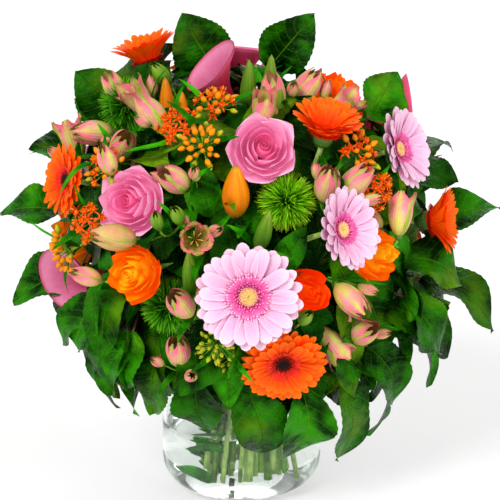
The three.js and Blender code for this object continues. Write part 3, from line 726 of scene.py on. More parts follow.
def ray(shape, look, azimuth, start, length, width, pitch, outline, rows=8, cols=5, gutter=0.1, droop=0.0,
        twist=0.0, lift=(0, 0)):
    """A strap-shaped petal that leaves the axis at start = (radius, height) along azimuth. pitch is its
    slope at its foot and at its tip, and lift moves it aside from the axis."""
    t, v = shares(rows, cols)
    u = 1 - (1 - t) ** 1.5
    slope = np.radians(pitch[0] + (pitch[1] - pitch[0]) * u)
    step = length * np.diff(u[:, 0])
    mid = (slope[1:, 0] + slope[:-1, 0]) / 2
    out = np.concatenate([[0], np.cumsum(np.cos(mid) * step)])[:, None]
    up = np.concatenate([[0], np.cumsum(np.sin(mid) * step)])[:, None]
    half = 0.5 * width * outline(u)
    hollow = np.sin(math.pi * np.clip(u * 1.05, 0, 1))
    sag = gutter * width * (1 - v ** 2) * hollow - droop * u ** 4 * length
    across = -v * half * math.cos(twist)
    radial = start[0] + out - sag * np.sin(slope)
    height = start[1] + up + sag * np.cos(slope) + v * half * math.sin(twist)
    c, s = math.cos(azimuth), math.sin(azimuth)
    points = np.stack([radial * c - across * s, radial * s + across * c, height], axis=-1)
    shape.grid(points + np.array([lift[0], lift[1], 0]), u, v, look)


def lathe(shape, look, profile, sides=12, ridges=0, ridge=0.0, tint=None, bend=0.0):
    """A body of revolution from (radius, height) pairs, with lengthwise ridges."""
    profile = np.asarray(profile, float)
    angle = np.linspace(0, 2 * math.pi, sides, endpoint=False)[None, :]
    swell = 1 + ridge * np.cos(ridges * angle)
    height = profile[:, 1:]
    points = polar(profile[:, :1] * swell, angle, height)
    points[..., 0] += bend * (height / max(profile[-1, 1], 1e-6)) ** 2
    u = np.linspace(0, 1, len(profile))[:, None]
    v = np.abs(np.cos(ridges * angle / 2)) if ridges else np.cos(angle)
    shape.grid(points, u, v, look, tint, ring=True)


def tube(shape, look, path, radius, sides):
    """A closed tube along a path; the radius may be one number or one for each point."""
    path = np.asarray(path, float)
    radius = np.broadcast_to(radius, len(path)).astype(float)
    ahead = np.gradient(path, axis=0)
    ahead /= np.linalg.norm(ahead, axis=1)[:, None]
    side = np.cross(ahead[0], (0.3, 0.9, 0.1))
    side = unit(side)
    sides_at = []
    for tangent in ahead:
        side = unit(side - tangent * side.dot(tangent))
        sides_at.append(side)
    sides_at = np.array(sides_at)
    others = np.cross(ahead, sides_at)
    angle = np.linspace(0, 2 * math.pi, sides, endpoint=False)
    ring = np.cos(angle)[None, :, None] * sides_at[:, None] + np.sin(angle)[None, :, None] * others[:, None]
    points = path[:, None] + ring * radius[:, None, None]
    first, last = path[:1, None] + 0 * ring[:1], path[-1:, None] + 0 * ring[:1]
    points = np.concatenate([first + ring[:1] * 0.02, points, last + ring[-1:] * 0.02])
    u = np.linspace(0, 1, len(points))[:, None]
    shape.grid(points, u, (angle / math.pi - 1)[None, :], look, ring=True)


def blade(shape, look, base, tip, width, upper, arch=0.13, fold=0.10, rows=16, cols=7, wave=0.05,
          widest=0.42, curl=0.0, swing=0.0, toothed=0.02):
    """A leaf from base to tip in the row frame, its upper side towards upper."""
    rnd = shape.dice
    along = tip - base
    length = np.linalg.norm(along)
    along = along / length
    across = unit(np.cross(along, upper))
    normal = np.cross(across, along)
    u, v = shares(rows, cols)
    taper = 0.9 if width > 16 else 0.72
    swell = taper * widest / (1 - widest)
    half = u ** swell * (1 - u) ** taper / (widest ** swell * (1 - widest) ** taper)
    half = 0.5 * width * half + 0.3
    teeth = 1 + toothed * np.where(np.arange(rows) % 2, 1, -1)[:, None] * (np.abs(v) > 0.95)
    phase = rnd.random(3) * FULL_TURN
    ripple = np.sin(u * 9 + phase[0]) * v ** 2 * np.sign(v) + 0.6 * np.sin(u * 7 + phase[1]) * v ** 2
    lift = arch * length * np.sin(math.pi * u) + fold * half * np.abs(v) * 2
    lift = lift + wave * width * ripple - curl * length * u ** 3
    sway = swing * length * np.sin(math.pi * u)
    points = (base + u[..., None] * length * along + (v * half * teeth + sway)[..., None] * across
              + lift[..., None] * normal)
    shape.grid(points, u, v, look)


# ---- Flowers, each about +Z with its stem's end at the shape's origin ----

def gerbera(shape, form, colour, stance):
    """Two or three rows of rays, short florets round the eye, the eye, and the green calyx behind."""
    radius = GERBERA_RADIUS[form]
    half_open = form == "half_open"
    pink = colour == "pink"
    rnd = shape.dice
    unit_size = radius / 48
    count = 21 if pink else 24
    length = radius * 1.02 if half_open else radius - 6
    rows = [(9.5, 1.0), (11.2, 0.93)] if pink else [(9.5, 1.0), (11.0, 0.95), (12.2, 0.74)]
    for row, (height, share) in enumerate(rows):
        for i in range(count):
            azimuth = 2 * math.pi * (i + 0.5 * row + rnd.normal(0, 0.10)) / count
            low, high = PETAL_PITCH[stance]
            high_step = 8 if half_open else 4
            pitch = (low + 6 * row + rnd.normal(0, 3), high + high_step * row + rnd.normal(0, 4))
            size = length * share * rnd.normal(1, 0.025)
            wide = 2 * math.pi * radius / count * (0.86 if pink else 0.76)
            wide = wide * rnd.normal(1, 0.05)
            ray(shape, "gerbera_" + colour, azimuth, (6, height), size, wide, pitch, rounded, rows=10, cols=7,
                gutter=-0.10, twist=rnd.normal(0, 0.12), droop=0.03)
    ring = "gerbera_" + colour + "_ring"
    for row, (reach, number) in enumerate([(0.46, 46), (0.42, 44)]):
        for i in range(number):
            azimuth = 2 * math.pi * (i + 0.5 * row + rnd.normal(0, 0.15)) / number
            size = radius * (reach - 0.2) * rnd.normal(1, 0.08)
            ray(shape, ring, azimuth, (0.2 * radius, 13.2 + 0.5 * row), size, 2.5 * unit_size,
                (34 + 8 * row, 6 + 8 * row), rounded, rows=5, cols=3, gutter=0.1)
    number = 210
    inner, outer = 0.165 * radius, 0.40 * radius
    for i in range(number):
        r = math.sqrt(inner ** 2 + (outer ** 2 - inner ** 2) * (i + 0.5) / number)
        a = i * GOLDEN_ANGLE + rnd.normal(0, 0.05)
        share = (r - inner) / (outer - inner)
        spot = (r * math.cos(a), r * math.sin(a))
        steep = 80 - 34 * share
        ray(shape, ring, a, (0.0, 14.2 - 0.6 * share), (3.2 + 1.4 * share) * unit_size, 1.7 * unit_size,
            (steep, steep - 38), rounded, rows=4, cols=3, gutter=0.35, lift=spot)
    eye = 0.175 * radius
    number = 150
    for i in range(number):
        r = eye * math.sqrt((i + 0.5) / number)
        a = i * GOLDEN_ANGLE
        tall = (1.5 + 1.1 * (r / eye) ** 2) * unit_size
        bead = np.array([[0.70, 0], [0.74, tall * 0.5], [0.5, tall * 0.9], [0.02, tall]])
        spot = (r * math.cos(a), r * math.sin(a), 13.6)
        bead_at(shape, f"gerbera_{colour}_disc", bead, spot, r / eye)
    cup = [(0.1, -1), (3.0, -0.5), (6.5, 2.5), (8.6, 6.5), (8.2, 10.5), (6, 13.4), (0.05, 13.9)]
    lathe(shape, "calyx", cup, 20, 20, 0.03)
    for row, number in enumerate((16, 18)):
        for i in range(number):
            azimuth = 2 * math.pi * (i + 0.5 * row) / number
            ray(shape, "calyx", azimuth, (4.0 + 2 * row, 0.5 + 2.5 * row), 9.5, 2.6,
                (68, 30 if half_open else 20), pointed, rows=4, cols=3)


def bead_at(shape, look, profile, offset, along):
    """A small six-sided body of revolution moved by offset, with one colour place for all of it."""
    angle = np.linspace(0, 2 * math.pi, 6, endpoint=False)[None, :]
    points = polar(profile[:, :1], angle, profile[:, 1:]) + np.asarray(offset)
    shape.grid(points, along, np.cos(angle), look, ring=True)


def rose(shape, form, look):
    """A tight spiral heart, then whorls of wider petals whose rims roll back to a point."""
    radius, depth = ROSE_RADIUS[form], ROSE_DEPTH
    rnd = shape.dice
    ruffle = 0.5 if look == "rose_pink" else 1.3
    turns = 2.7
    angle = np.linspace(0, turns * 2 * math.pi, 84)[None, :]
    s = np.linspace(0, 1, 8)[:, None]
    growth = angle / angle.max()
    r = (0.7 + 0.25 * radius * growth) * (1.08 - 0.16 * s ** 2) + 0.35 * np.sin(angle * 1.5 + 1)
    z = depth * (0.45 + s * (0.50 - 0.02 * growth)) + 0.5 * np.sin(angle * 2.2) * s ** 3
    points = polar(r, angle, z)
    shape.grid(points, 0.05 + 0.12 * growth, 0.3, look, 0.5)
    # Each whorl is (petals, share of the radius, share of the depth, how far it rolls back, half angle).
    whorls = [(3, 0.34, 0.96, 0.04, 74), (4, 0.48, 0.95, 0.14, 62), (5, 0.63, 0.90, 0.38, 55),
              (5, 0.79, 0.81, 0.72, 52), (5, 0.93, 0.68, 1.0, 52)]
    if form == "half_open":
        whorls = [(3, 0.40, 0.97, 0.0, 74), (3, 0.66, 0.96, 0.1, 70), (4, 0.92, 0.92, 0.2, 60)]
    s, v = shares(13, 15)
    for k, (count, reach, tall, opening, span) in enumerate(whorls):
        first = rnd.random() * FULL_TURN
        for i in range(count):
            azimuth = first + 2 * math.pi * (i + rnd.normal(0, 0.07)) / count
            wide = math.radians(span * rnd.normal(1, 0.05))
            most = radius * reach * rnd.normal(1, 0.02)
            top = depth * tall * rnd.normal(1, 0.015)
            foot = 4.0
            ridge = (1 - np.abs(v)) ** 1.2
            r = 2.6 * (1 - s) + most * np.sin(0.5 * math.pi * s ** 0.6)
            r = r * (1 + 0.06 * v * s) + opening * radius * 0.17 * smooth(0.6, 1.0, s) ** 1.4 * ridge
            z = foot + (top - foot) * s ** 1.1 - (top - foot) * 0.15 * np.abs(v) ** 2.4 * s
            roll = smooth(0.78, 1.0, s) ** 1.5
            z = z - opening * depth * 0.13 * roll * (1.25 - ridge) + 0.03 * depth * ridge * roll
            z = z + ruffle * np.sin(v * 7 + rnd.random() * 6) * s ** 4
            a = azimuth + v * wide * (0.55 + 0.45 * np.sin(math.pi * np.clip(s, 0, 0.9) ** 0.8))
            shade = 0.12 + 0.80 * (k + 1) / len(whorls)
            shape.grid(polar(r, a, z), shade * (0.62 + 0.38 * s ** 3), v, look)
    lathe(shape, "calyx", [(0.1, -1), (2.6, -0.5), (4.2, 2), (4.6, 5), (3.2, 8)], 14)
    for i in range(5):
        azimuth = 2 * math.pi * (i + 0.3) / 5
        ray(shape, "calyx", azimuth, (3.6, 5), 24, 6.5, (10, -62), lambda u: (1 - u) ** 0.8 * 0.9 + 0.08)


def calla(shape):
    radius, length = CALLA_RADIUS, CALLA_LENGTH
    s, v = shares(22, 36)
    angle = v * math.pi * 1.08
    lip = np.cos(angle * 0.5) ** 2
    throat = 3.4 + 5.4 * s ** 0.7 + (radius - 9) * smooth(0.42, 1.0, s) ** 1.7
    height = length * (0.04 + 0.76 * s) + length * 0.20 * lip * s ** 2.2
    roll = smooth(0.84, 1.0, s)
    for look, gap in (("calla_outside", 0.0), ("calla_inside", -0.7)):
        r = throat + gap + 1.2 * v * s + 3.2 * roll * (0.4 + lip) + 1.4 * lip * s ** 3
        z = height - 3.0 * roll * (1 - 0.4 * lip) + 0.02 * gap
        wave = 0.8 * np.sin(angle * 3) * s ** 3
        shape.grid(polar(r + wave, angle, z), s, v, look, 0.5)
    profile = [(0.1, 14), (2.6, 15), (2.9, 30), (2.7, 44), (1.9, 52), (0.1, 54)]
    lathe(shape, "spadix", profile, 14, 7, 0.08)
    lathe(shape, "stem_green", [(3.2, -2), (3.5, 2), (4.0, 8), (3.2, 10)], 14)


def dianthus(shape, look):
    rnd = shape.dice
    middle = np.array([0, 0, DIANTHUS_RADIUS * 0.85])
    core = DIANTHUS_RADIUS * DIANTHUS_CORE
    turn, origin = shape.turn, shape.origin
    for i in range(DIANTHUS_BRACTS):
        out = unit(ball_direction(1 - 2 * (i + 0.5) / DIANTHUS_BRACTS, i) + rnd.normal(0, 0.12, 3))
        local = facing_frame(out, rnd.random() * FULL_TURN)
        shape.stand(origin + turn @ (middle + out * core), turn @ local)
        tall = DIANTHUS_RADIUS * (1 - DIANTHUS_CORE) * rnd.uniform(0.82, 1.08)
        u = np.linspace(0, 1, 5)[:, None]
        v = np.array([[-1.0, 0.0, 1.0]])
        bend = rnd.normal(0, 3.2) * u ** 2
        half = 0.75 * (1 - u ** 1.5) + 0.06
        points = np.stack([bend + 0 * v, v * half, tall * u + 0.2 * v ** 2], axis=-1)
        shape.grid(points, u, v, look)
    shape.stand(origin, turn)
    for i in range(6):
        azimuth = math.pi * i / 3
        ray(shape, "calyx", azimuth, (1.5, -1), 14, 3.2, (60, 35), pointed, rows=5, cols=3)


def lily_bud(shape, look, plump=1.0):
    radius, length = LILY_BUD[0] * plump, LILY_BUD[1]
    t = np.linspace(0, 1, 18)
    r = radius * (0.16 + 0.84 * np.sin(math.pi * t ** 0.85) ** 0.8) * (1 - 0.25 * t)
    r[-1] = 0.2
    lathe(shape, look, np.stack([r, -1 + (length + 1) * t], axis=1), 24, 3, 0.13, bend=1.5)
    lathe(shape, look, np.stack([r * 0.97, -1 + length * t], axis=1), 24, 6, 0.05, bend=1.5)


def alstroemeria_bud(shape, opening, size=1.0, look=None):
    """Six tepals, every other one keeled with green, closed or opening into a trumpet."""
    radius, length = ALSTROEMERIA_BUD[0] * size * BUD_FULLNESS, ALSTROEMERIA_BUD[1] * size
    rnd = shape.dice
    s, v = shares(14, 9)
    spin = rnd.random() * FULL_TURN
    for i in range(6):
        inner = i % 2
        azimuth = spin + i * math.pi / 3
        full = 0.80 * radius - 0.8 * inner
        swell = np.sin(math.pi * s ** 0.85 * (0.97 - 0.45 * opening)) ** 0.8
        belly = 0.24 * radius + (full - 0.24 * radius) * swell
        flare = opening * radius * 0.85 * smooth(0.55, 1.0, s) ** 1.5
        crease = 0.09 * radius * (1 - np.abs(v)) ** 1.5 * np.sin(math.pi * s)
        r = np.maximum(belly + flare, 0.06 * radius) + crease
        wide = math.radians(46 if inner else 56) * (0.7 + 0.3 * np.sin(math.pi * s))
        wide = wide * (1 - 0.75 * smooth(0.7, 1.0, s))
        a = azimuth + v * wide * (1 - 0.30 * opening * s) + 0.35 * s
        z = length * s * (1 - 0.08 * inner) - 0.6 - opening * 0.08 * length * smooth(0.75, 1, s)
        frill = 0.07 * radius * opening * np.sin(v * 6 + i) * s ** 2
        points = polar(r + frill, a, z + frill)
        shape.grid(points, s, v, look or ("alstroemeria_keel" if inner else "alstroemeria"))
    foot = np.array([(0.1, -5.5), (1.6, -5), (2.9, -2.5), (2.8, 0), (2.0, 1.5)]) * size
    lathe(shape, "calyx", foot, 12, 6, 0.08)
    if opening > 0.4:
        for i in range(6):
            azimuth = spin + i * math.pi / 3 + 0.4
            ray(shape, "spadix", azimuth, (1.0, 6), length * 0.62, 0.9, (84, 70), np.ones_like,
                rows=5, cols=3)


def foot_leaves(shape, plant, count):
    """A few leaves left on the stem under water, inside the vase."""
    rnd = shape.dice
    shape.stand()
    for i in range(count):
        root = plant.route[i % 3] + np.array([0, 0, 6.0 * i])
        side = direction(-90 + rnd.normal(0, 50), rnd.uniform(0, 40))
        tip = root + side * rnd.uniform(20, 36)
        if math.hypot(tip[0], tip[1]) > FOOT_LEAF_REACH or tip[2] < 18:
            continue
        blade(shape, "narrow_leaf", root, tip, rnd.uniform(6, 11), unit(np.array([0, -0.8, 0.6])),
              rows=12, cols=5, arch=rnd.uniform(0, 0.2), curl=rnd.uniform(-0.1, 0.3))


def asclepias_umbel(shape, kind):
    """kind is open, bud, half or green: small star flowers, or egg-shaped buds, on thin stalks."""
    rnd = shape.dice
    origin, turn = shape.origin, shape.turn
    count = {"open": 17, "half": 21, "bud": 26, "green": 30}[kind]
    for i in range(count):
        share = (i + 0.5) / count
        lean = math.radians(74) * math.sqrt(share)
        a = i * GOLDEN_ANGLE + rnd.normal(0, 0.2)
        out = np.array([math.sin(lean) * math.cos(a), math.sin(lean) * math.sin(a), math.cos(lean)])
        reach = (UMBEL_DEPTH - 3) / (0.6 + 0.4 * math.cos(lean)) * rnd.uniform(0.78, 1.0)
        end = out * reach
        shape.stand(origin, turn)
        tube(shape, "stem_green", [(0, 0, 0), end * 0.5 + (0, 0, 0.8), end], 0.45, 5)
        way = unit(out + rnd.normal(0, 0.15, 3))
        shape.stand(origin + turn @ end, turn @ facing_frame(way, rnd.random() * 6))
        size = rnd.uniform(0.85, 1.15)
        if kind == "open" or (kind == "half" and i % 2):
            for j in range(5):
                azimuth = 2 * math.pi * j / 5
                ray(shape, "asclepias_flower", azimuth, (0.5, 0.4), 6.6 * size, 3.1, (30, -25), pointed,
                    rows=6, cols=3, gutter=0.2)
                ray(shape, "asclepias_hood", azimuth + 0.6, (1.2, 0.8), 4.6 * size, 2.2, (62, 84), rounded,
                    rows=4, cols=3, gutter=-0.4)
            crown = np.array([(1.2, 0), (1.3, 1.6), (0.8, 2.4), (0.05, 2.5)])
            lathe(shape, "asclepias_hood", crown * size, 8)
        else:
            profile = np.array([
                (0.3, -0.4), (1.4, 0.4), (2.4, 2.4), (2.35, 4.4), (1.5, 6.4), (0.7, 7.6), (0.05, 7.9),
            ])
            look = "asclepias_green" if kind == "green" or i > 0.8 * count else "asclepias_bud"
            lathe(shape, look, profile * size * (0.8 if kind == "green" else 1.0), 10, 5, 0.06)
    shape.stand(origin, turn)


def sprig(shape, base, out, count, size, width):
    """Narrow leaves that stand round a bud or umbel, none of them over a flower's face."""
    rnd = shape.dice
    shape.stand()
    frame_here = facing_frame(out, rnd.random() * FULL_TURN)
    for i in range(count):
        a = 2 * math.pi * (i + rnd.normal(0, 0.12)) / count
        side = frame_here[:, 0] * math.cos(a) + frame_here[:, 1] * math.sin(a)
        root = base - out * 14
        tip = root + unit(out * rnd.uniform(0.7, 1.2) + side * 0.9) * size * rnd.uniform(0.8, 1.3)
        if hides_a_face(root, tip):
            continue
        blade(shape, "narrow_leaf", root, tip, width * rnd.uniform(0.75, 1.15), unit(out - side * 0.6),
              arch=rnd.uniform(-0.02, 0.16), cols=5, curl=rnd.uniform(-0.05, 0.25),
              swing=rnd.normal(0, 0.09), fold=0.2)


# ---- Stems and what grows on them ----

class Plant:
    """One cut stem: its name, kind, upper end, the way it faces there, and where it crosses the tie."""

    def __init__(self, name, kind, end, facing, detail):
        self.name, self.kind, self.end, self.facing, self.detail = name, kind, end, facing, detail
        self.radius = STEM_RADIUS[kind]


def head_plant(name, kind, at, face, depth, detail):
    facing = direction(*face)
    return Plant(name, kind, place(*at) - facing * depth, facing, detail)


def forked_plant(name, kind, hub, tips):
    return Plant(name, kind, place(*hub), direction(*hub[:2]), tips)


def all_plants():
    plants = [head_plant(n, "gerbera", at, face, GERBERA_DEPTH, form) for n, at, face, form in GERBERAS]
    plants += [head_plant(n, "rose", at, face, ROSE_DEPTH, form) for n, at, face, form in ROSES]
    plants += [head_plant(n, "calla", at, face, CALLA_LENGTH, None) for n, at, face in CALLAS]
    plants += [head_plant(n, "dianthus", at, at[:2], DIANTHUS_RADIUS * 1.85, None) for n, at in DIANTHUSES]
    plants += [forked_plant(n, "lily", hub, tips) for n, hub, tips in LILIES]
    plants += [forked_plant(n, "alstroemeria", hub, tips) for n, hub, tips in ALSTROEMERIAS]
    plants += [forked_plant(n, "asclepias", hub, tips) for n, hub, tips in ASCLEPIASES]
    plants += [forked_plant(n, "leaves", hub, leaves) for n, hub, leaves in LEAF_BRANCHES]
    return plants


def tie_point(plant):
    way = plant.end - np.array([0, 0, BIND_HEIGHT])
    slope = math.atan2(math.hypot(way[0], way[1]), way[2])
    turn = math.atan2(way[1], way[0]) - HALF_SPIRAL
    spread = BIND_RADIUS * min(1, math.sin(slope / 2) / math.sqrt(0.5))
    return [spread * math.cos(turn), spread * math.sin(turn)]


def settle(plants):
    """Stems that would share the same spot at the tie push each other aside."""
    spots = [tie_point(p) for p in plants]
    radii = [p.radius for p in plants]
    for _ in range(SETTLE_ROUNDS):
        for i, spot in enumerate(spots):
            for j in range(i + 1, len(spots)):
                other = spots[j]
                dx, dy = other[0] - spot[0], other[1] - spot[1]
                apart = math.hypot(dx, dy)
                short = radii[i] + radii[j] + STEM_GAP - apart
                if short > 0:
                    k = 0.5 * short / (apart or 1)
                    spot[0] -= dx * k
                    spot[1] -= dy * k
                    other[0] += dx * k
                    other[1] += dy * k
            out = math.hypot(*spot)
            most = BIND_RADIUS - radii[i]
            if out > most:
                spot[0] *= most / out
                spot[1] *= most / out
    return np.array(spots)


def below_tie(spot, height):
    slope = np.array([-spot[1], spot[0]]) * SPIRAL - LEAN
    across = spot + slope * (height - BIND_HEIGHT)
    return np.array([across[0], across[1], height])


def upper_controls(plant, spot):
    tie = below_tie(spot, BIND_HEIGHT)
    way = np.linalg.norm(plant.end - tie)
    rising = unit(tie - below_tie(spot, VASE_FLOOR))
    return np.array([
        tie,
        tie + rising * TIE_STIFFNESS * way,
        plant.end - plant.facing * NECK_STIFFNESS * way,
        plant.end + plant.facing * 2,
    ])


def bezier(controls, count):
    t = np.linspace(0, 1, count)[:, None]
    a, b, c, d = controls
    return (1 - t) ** 3 * a + 3 * (1 - t) ** 2 * t * b + 3 * (1 - t) * t * t * c + t ** 3 * d


def nudge_apart(plants, controls):
    """Above the tie, stems that would run into each other bend aside."""
    for _ in range(NUDGE_ROUNDS):
        lines = [bezier(c, NUDGE_SAMPLES + 1)[2:] for c in controls]
        for i, one in enumerate(lines):
            for j in range(i + 1, len(lines)):
                gaps = lines[j][None] - one[:, None]
                lengths = np.linalg.norm(gaps, axis=2)
                nearest = np.unravel_index(lengths.argmin(), lengths.shape)
                short = plants[i].radius + plants[j].radius + STEM_GAP - lengths[nearest]
                if short > 0:
                    push = unit(gaps[nearest]) * 0.6 * short
                    controls[i][1:3] -= push
                    controls[j][1:3] += push


def grow_stems(plants):
    spots = settle(plants)
    controls = [upper_controls(p, s) for p, s in zip(plants, spots)]
    nudge_apart(plants, controls)
    for i, plant in enumerate(plants):
        foot = FOOT_LOWEST + ((i * 7) % 12) * (FOOT_SPREAD / 12)
        lower = np.linspace(below_tie(spots[i], foot), controls[i][0], 7)[:-1]
        plant.route = np.concatenate([lower, bezier(controls[i], 22)])


def stem(shape, plant):
    shape.stand()
    count = len(plant.route)
    uneven = 1 + 0.05 * np.sin(np.arange(count) * 1.7 + len(plant.name))
    radius = plant.radius * uneven * np.linspace(1.06, 0.9, count)
    look = "stem_woody" if plant.name in WOODY_BRANCHES else STEM_LOOK[plant.kind]
    tube(shape, look, plant.route, radius, 10)


def pedicel(shape, plant, base, out, radius):
    """A thin green stalk from the fork to the foot of a bud, which it meets straight."""
    middle = base - out * 0.5 * np.linalg.norm(base - plant.end)
    t = np.linspace(0, 1, 8)[:, None]
    path = (1 - t) ** 2 * plant.end + 2 * (1 - t) * t * middle + t * t * (base + out * 1.5)
    shape.stand()
    tube(shape, "stem_green", path, radius, 7)


def fork_tip(plant, tip, length):
    top = place(*tip)
    out = unit(unit(top - plant.end) + direction(*tip[:2]))
    return top - out * length, out


def turned_bud(shape, base, out, length, outward, upward, scatter):
    """The foot and direction of a bud that turns from straight out towards the light, about its middle."""
    way = unit(out * outward + np.array([0, 0, upward]) + shape.dice.normal(0, scatter, 3))
    return base + out * length * 0.5 - way * length * 0.5, way


def stem_leaves(shape, plant, count, size, width):
    """Narrow leaves up the upper part of the stem, each turned outward from it."""
    low, high = 0.55, 0.97
    rnd = shape.dice
    shape.stand()
    route = plant.route
    for i in range(count):
        k = int((low + (high - low) * (i + 0.5) / count) * (len(route) - 1))
        root = route[k]
        ahead = unit(route[min(k + 1, len(route) - 1)] - route[k - 1])
        side = facing_frame(ahead, i * 2.4 + rnd.random())[:, 0]
        outward = unit(root - DOME_CENTRE + np.array([0, 0, 60.0]))
        way = unit(ahead * 0.9 + side * 1.0 + outward * 0.5)
        tip = root + way * size * rnd.uniform(0.8, 1.15)
        if reach_of(tip) > LEAF_LIMIT or hides_a_face(root, tip):
            continue
        blade(shape, "narrow_leaf", root, tip, width, unit(outward + ahead * 0.4), arch=0.12, rows=12,
              cols=5, curl=rnd.uniform(-0.1, 0.25))


def compound_leaves(shape, plant, count):
    """Rose leaves: three or five toothed leaflets on one stalk."""
    rnd = shape.dice
    route = plant.route
    for i in range(count):
        k = int((0.62 + 0.3 * (i + 0.5) / count) * (len(route) - 1))
        root = route[k]
        ahead = unit(route[k + 1] - route[k - 1])
        side = facing_frame(ahead, i * 2.2 + rnd.random() * 2)[:, 0]
        outward = unit(root - DOME_CENTRE + np.array([0, 0, 80.0]))
        way = unit(ahead * 0.8 + side * 0.9)
        across = unit(np.cross(way, outward))
        full, short = ROSE_LEAF_LENGTHS
        long = full if reach_of(root + way * full) < 1.0 else short
        shape.stand()
        tube(shape, "stem_rose", [root, root + way * long * 0.3, root + way * long * 0.6], 0.7, 6)
        for share, swing in ((0.28, 1), (0.28, -1), (0.5, 1), (0.5, -1), (0.6, 0)):
            base = root + way * long * share
            tip = base + unit(way + across * swing * 1.1) * long * 0.45
            if hides_a_face(base, tip):
                continue
            blade(shape, "rose_leaf", base, tip, long * 0.30, outward, toothed=0.06, widest=0.45)


def bud(shape, plant, i, base, out):
    """The bud or umbel at a forked plant's i-th tip."""
    if plant.kind == "lily":
        look = "lily_orange" if (plant.name, i) in ORANGE_LILIES else "lily_green"
        lily_bud(shape, look, PLUMP_BUDS.get((plant.name, i), 1.0))
    elif plant.kind == "alstroemeria":
        alstroemeria_bud(shape, BUD_OPENINGS[(i + len(plant.name)) % 3], BUD_SIZE)
        side_buds(shape, base, out, 2)
    else:
        asclepias_umbel(shape, "green" if "low" in plant.name else UMBEL_KINDS[i % 3])


def build_plant(plant):
    shape = Shape(plant.name + "_look")
    rnd = shape.dice
    stem(shape, plant)
    spin = rnd.random() * FULL_TURN
    facing = facing_frame(plant.facing, spin)
    if plant.kind == "gerbera":
        shape.stand(plant.end, facing)
        stance = "cupped" if plant.name in CUPPED_GERBERAS else plant.detail
        gerbera(shape, plant.detail, "pink" if "pink" in plant.name else "orange", stance)
    elif plant.kind == "rose":
        shape.stand(plant.end, facing)
        look = "rose_pink" if "pink" in plant.name else "rose_orange"
        rose(shape, plant.detail, "rose_red" if plant.name in RED_ROSES else look)
        compound_leaves(shape, plant, 3)
    elif plant.kind == "calla":
        towards = np.array(CALLA_LIPS[plant.name])
        lip = unit(towards - plant.facing * plant.facing.dot(towards))
        facing = np.stack([lip, np.cross(plant.facing, lip), plant.facing], axis=1)
        shape.stand(plant.end, facing)
        calla(shape)
    elif plant.kind == "dianthus":
        shape.stand(plant.end, facing)
        dianthus(shape, "dianthus_bright" if "front" in plant.name else "dianthus")
        stem_leaves(shape, plant, 4, 40, 6)
    elif plant.kind in FORKED:
        length, turn, stalk, (ahead, size, width), spin, leaves = FORKED[plant.kind]
        for i, tip in enumerate(plant.detail):
            base, out = fork_tip(plant, tip, length)
            if turn:
                base, out = turned_bud(shape, base, out, length, *turn)
            pedicel(shape, plant, base, out, stalk)
            sprig(shape, base + out * ahead, out, 3, size, width)
            shape.stand(base, facing_frame(out, i * spin))
            bud(shape, plant, i, base, out)
        if plant.kind == "alstroemeria":
            extra_buds(shape, plant)
        stem_leaves(shape, plant, *leaves)
    else:
        for base, tip, width, upper in plant.detail + edge_leaves(plant):
            shape.stand()
            root, point = place(*base), place(*tip)
            tube(shape, "stem_woody", [plant.end, (plant.end + root) / 2 + (0, 0, 2), root], 1.2, 7)
            blade(shape, "lemon_leaf", root, point, width * LEAF_FULLNESS, direction(*upper),
                  rows=28, cols=11, wave=0.08, curl=rnd.uniform(0, 0.12), swing=rnd.normal(0, 0.05))
    if plant.kind in LEAFY_FEET and plant.route[0][0] < -8:
        foot_leaves(shape, plant, 3)
    piece = shape.build()
    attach(piece, "root")
    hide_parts(plant.name)


def side_buds(shape, base, out, count):
    """Small green buds beside the main one, on thin stalks from its foot."""
    rnd = shape.dice
    turn = facing_frame(out, rnd.random() * FULL_TURN)
    root = base - out * 12
    for _ in range(count):
        a = rnd.random() * FULL_TURN
        side = turn[:, 0] * math.cos(a) + turn[:, 1] * math.sin(a)
        foot = base + side * rnd.uniform(13, 20) + out * rnd.uniform(2, 12)
        way = unit(out + side * 0.7)
        if hides_a_face(foot, foot + way * 18):
            continue
        shape.stand()
        tube(shape, "stem_green", [root, (root + foot) / 2 - out * 2, foot, foot + way * 2], 0.7, 6)
        shape.stand(foot, facing_frame(way, rnd.random() * 6))
        alstroemeria_bud(shape, 0.0, rnd.uniform(0.40, 0.56))


def extra_buds(shape, plant):
    for owner, at, way, kind, size, opening in EXTRA_BUDS:
        if owner != plant.name:
            continue
        out = direction(*way)
        base = place(*at) - out * ALSTROEMERIA_BUD[1] * size * 0.5
        pedicel(shape, plant, base, out, 1.0)
        shape.stand(base, facing_frame(out, 1.0 + size))
        alstroemeria_bud(shape, opening, size, {"green": "lily_green", "olive": "bud_olive"}.get(kind))


def edge_leaves(plant):
    """The big leaves of EDGE_LEAVES that grow on this branch."""
    return [leaf_at[1:] for leaf_at in EDGE_LEAVES if leaf_at[0] == plant.name]


# ---- Extra leaves of the lemon-leaf branches, which close the dome between the flowers ----

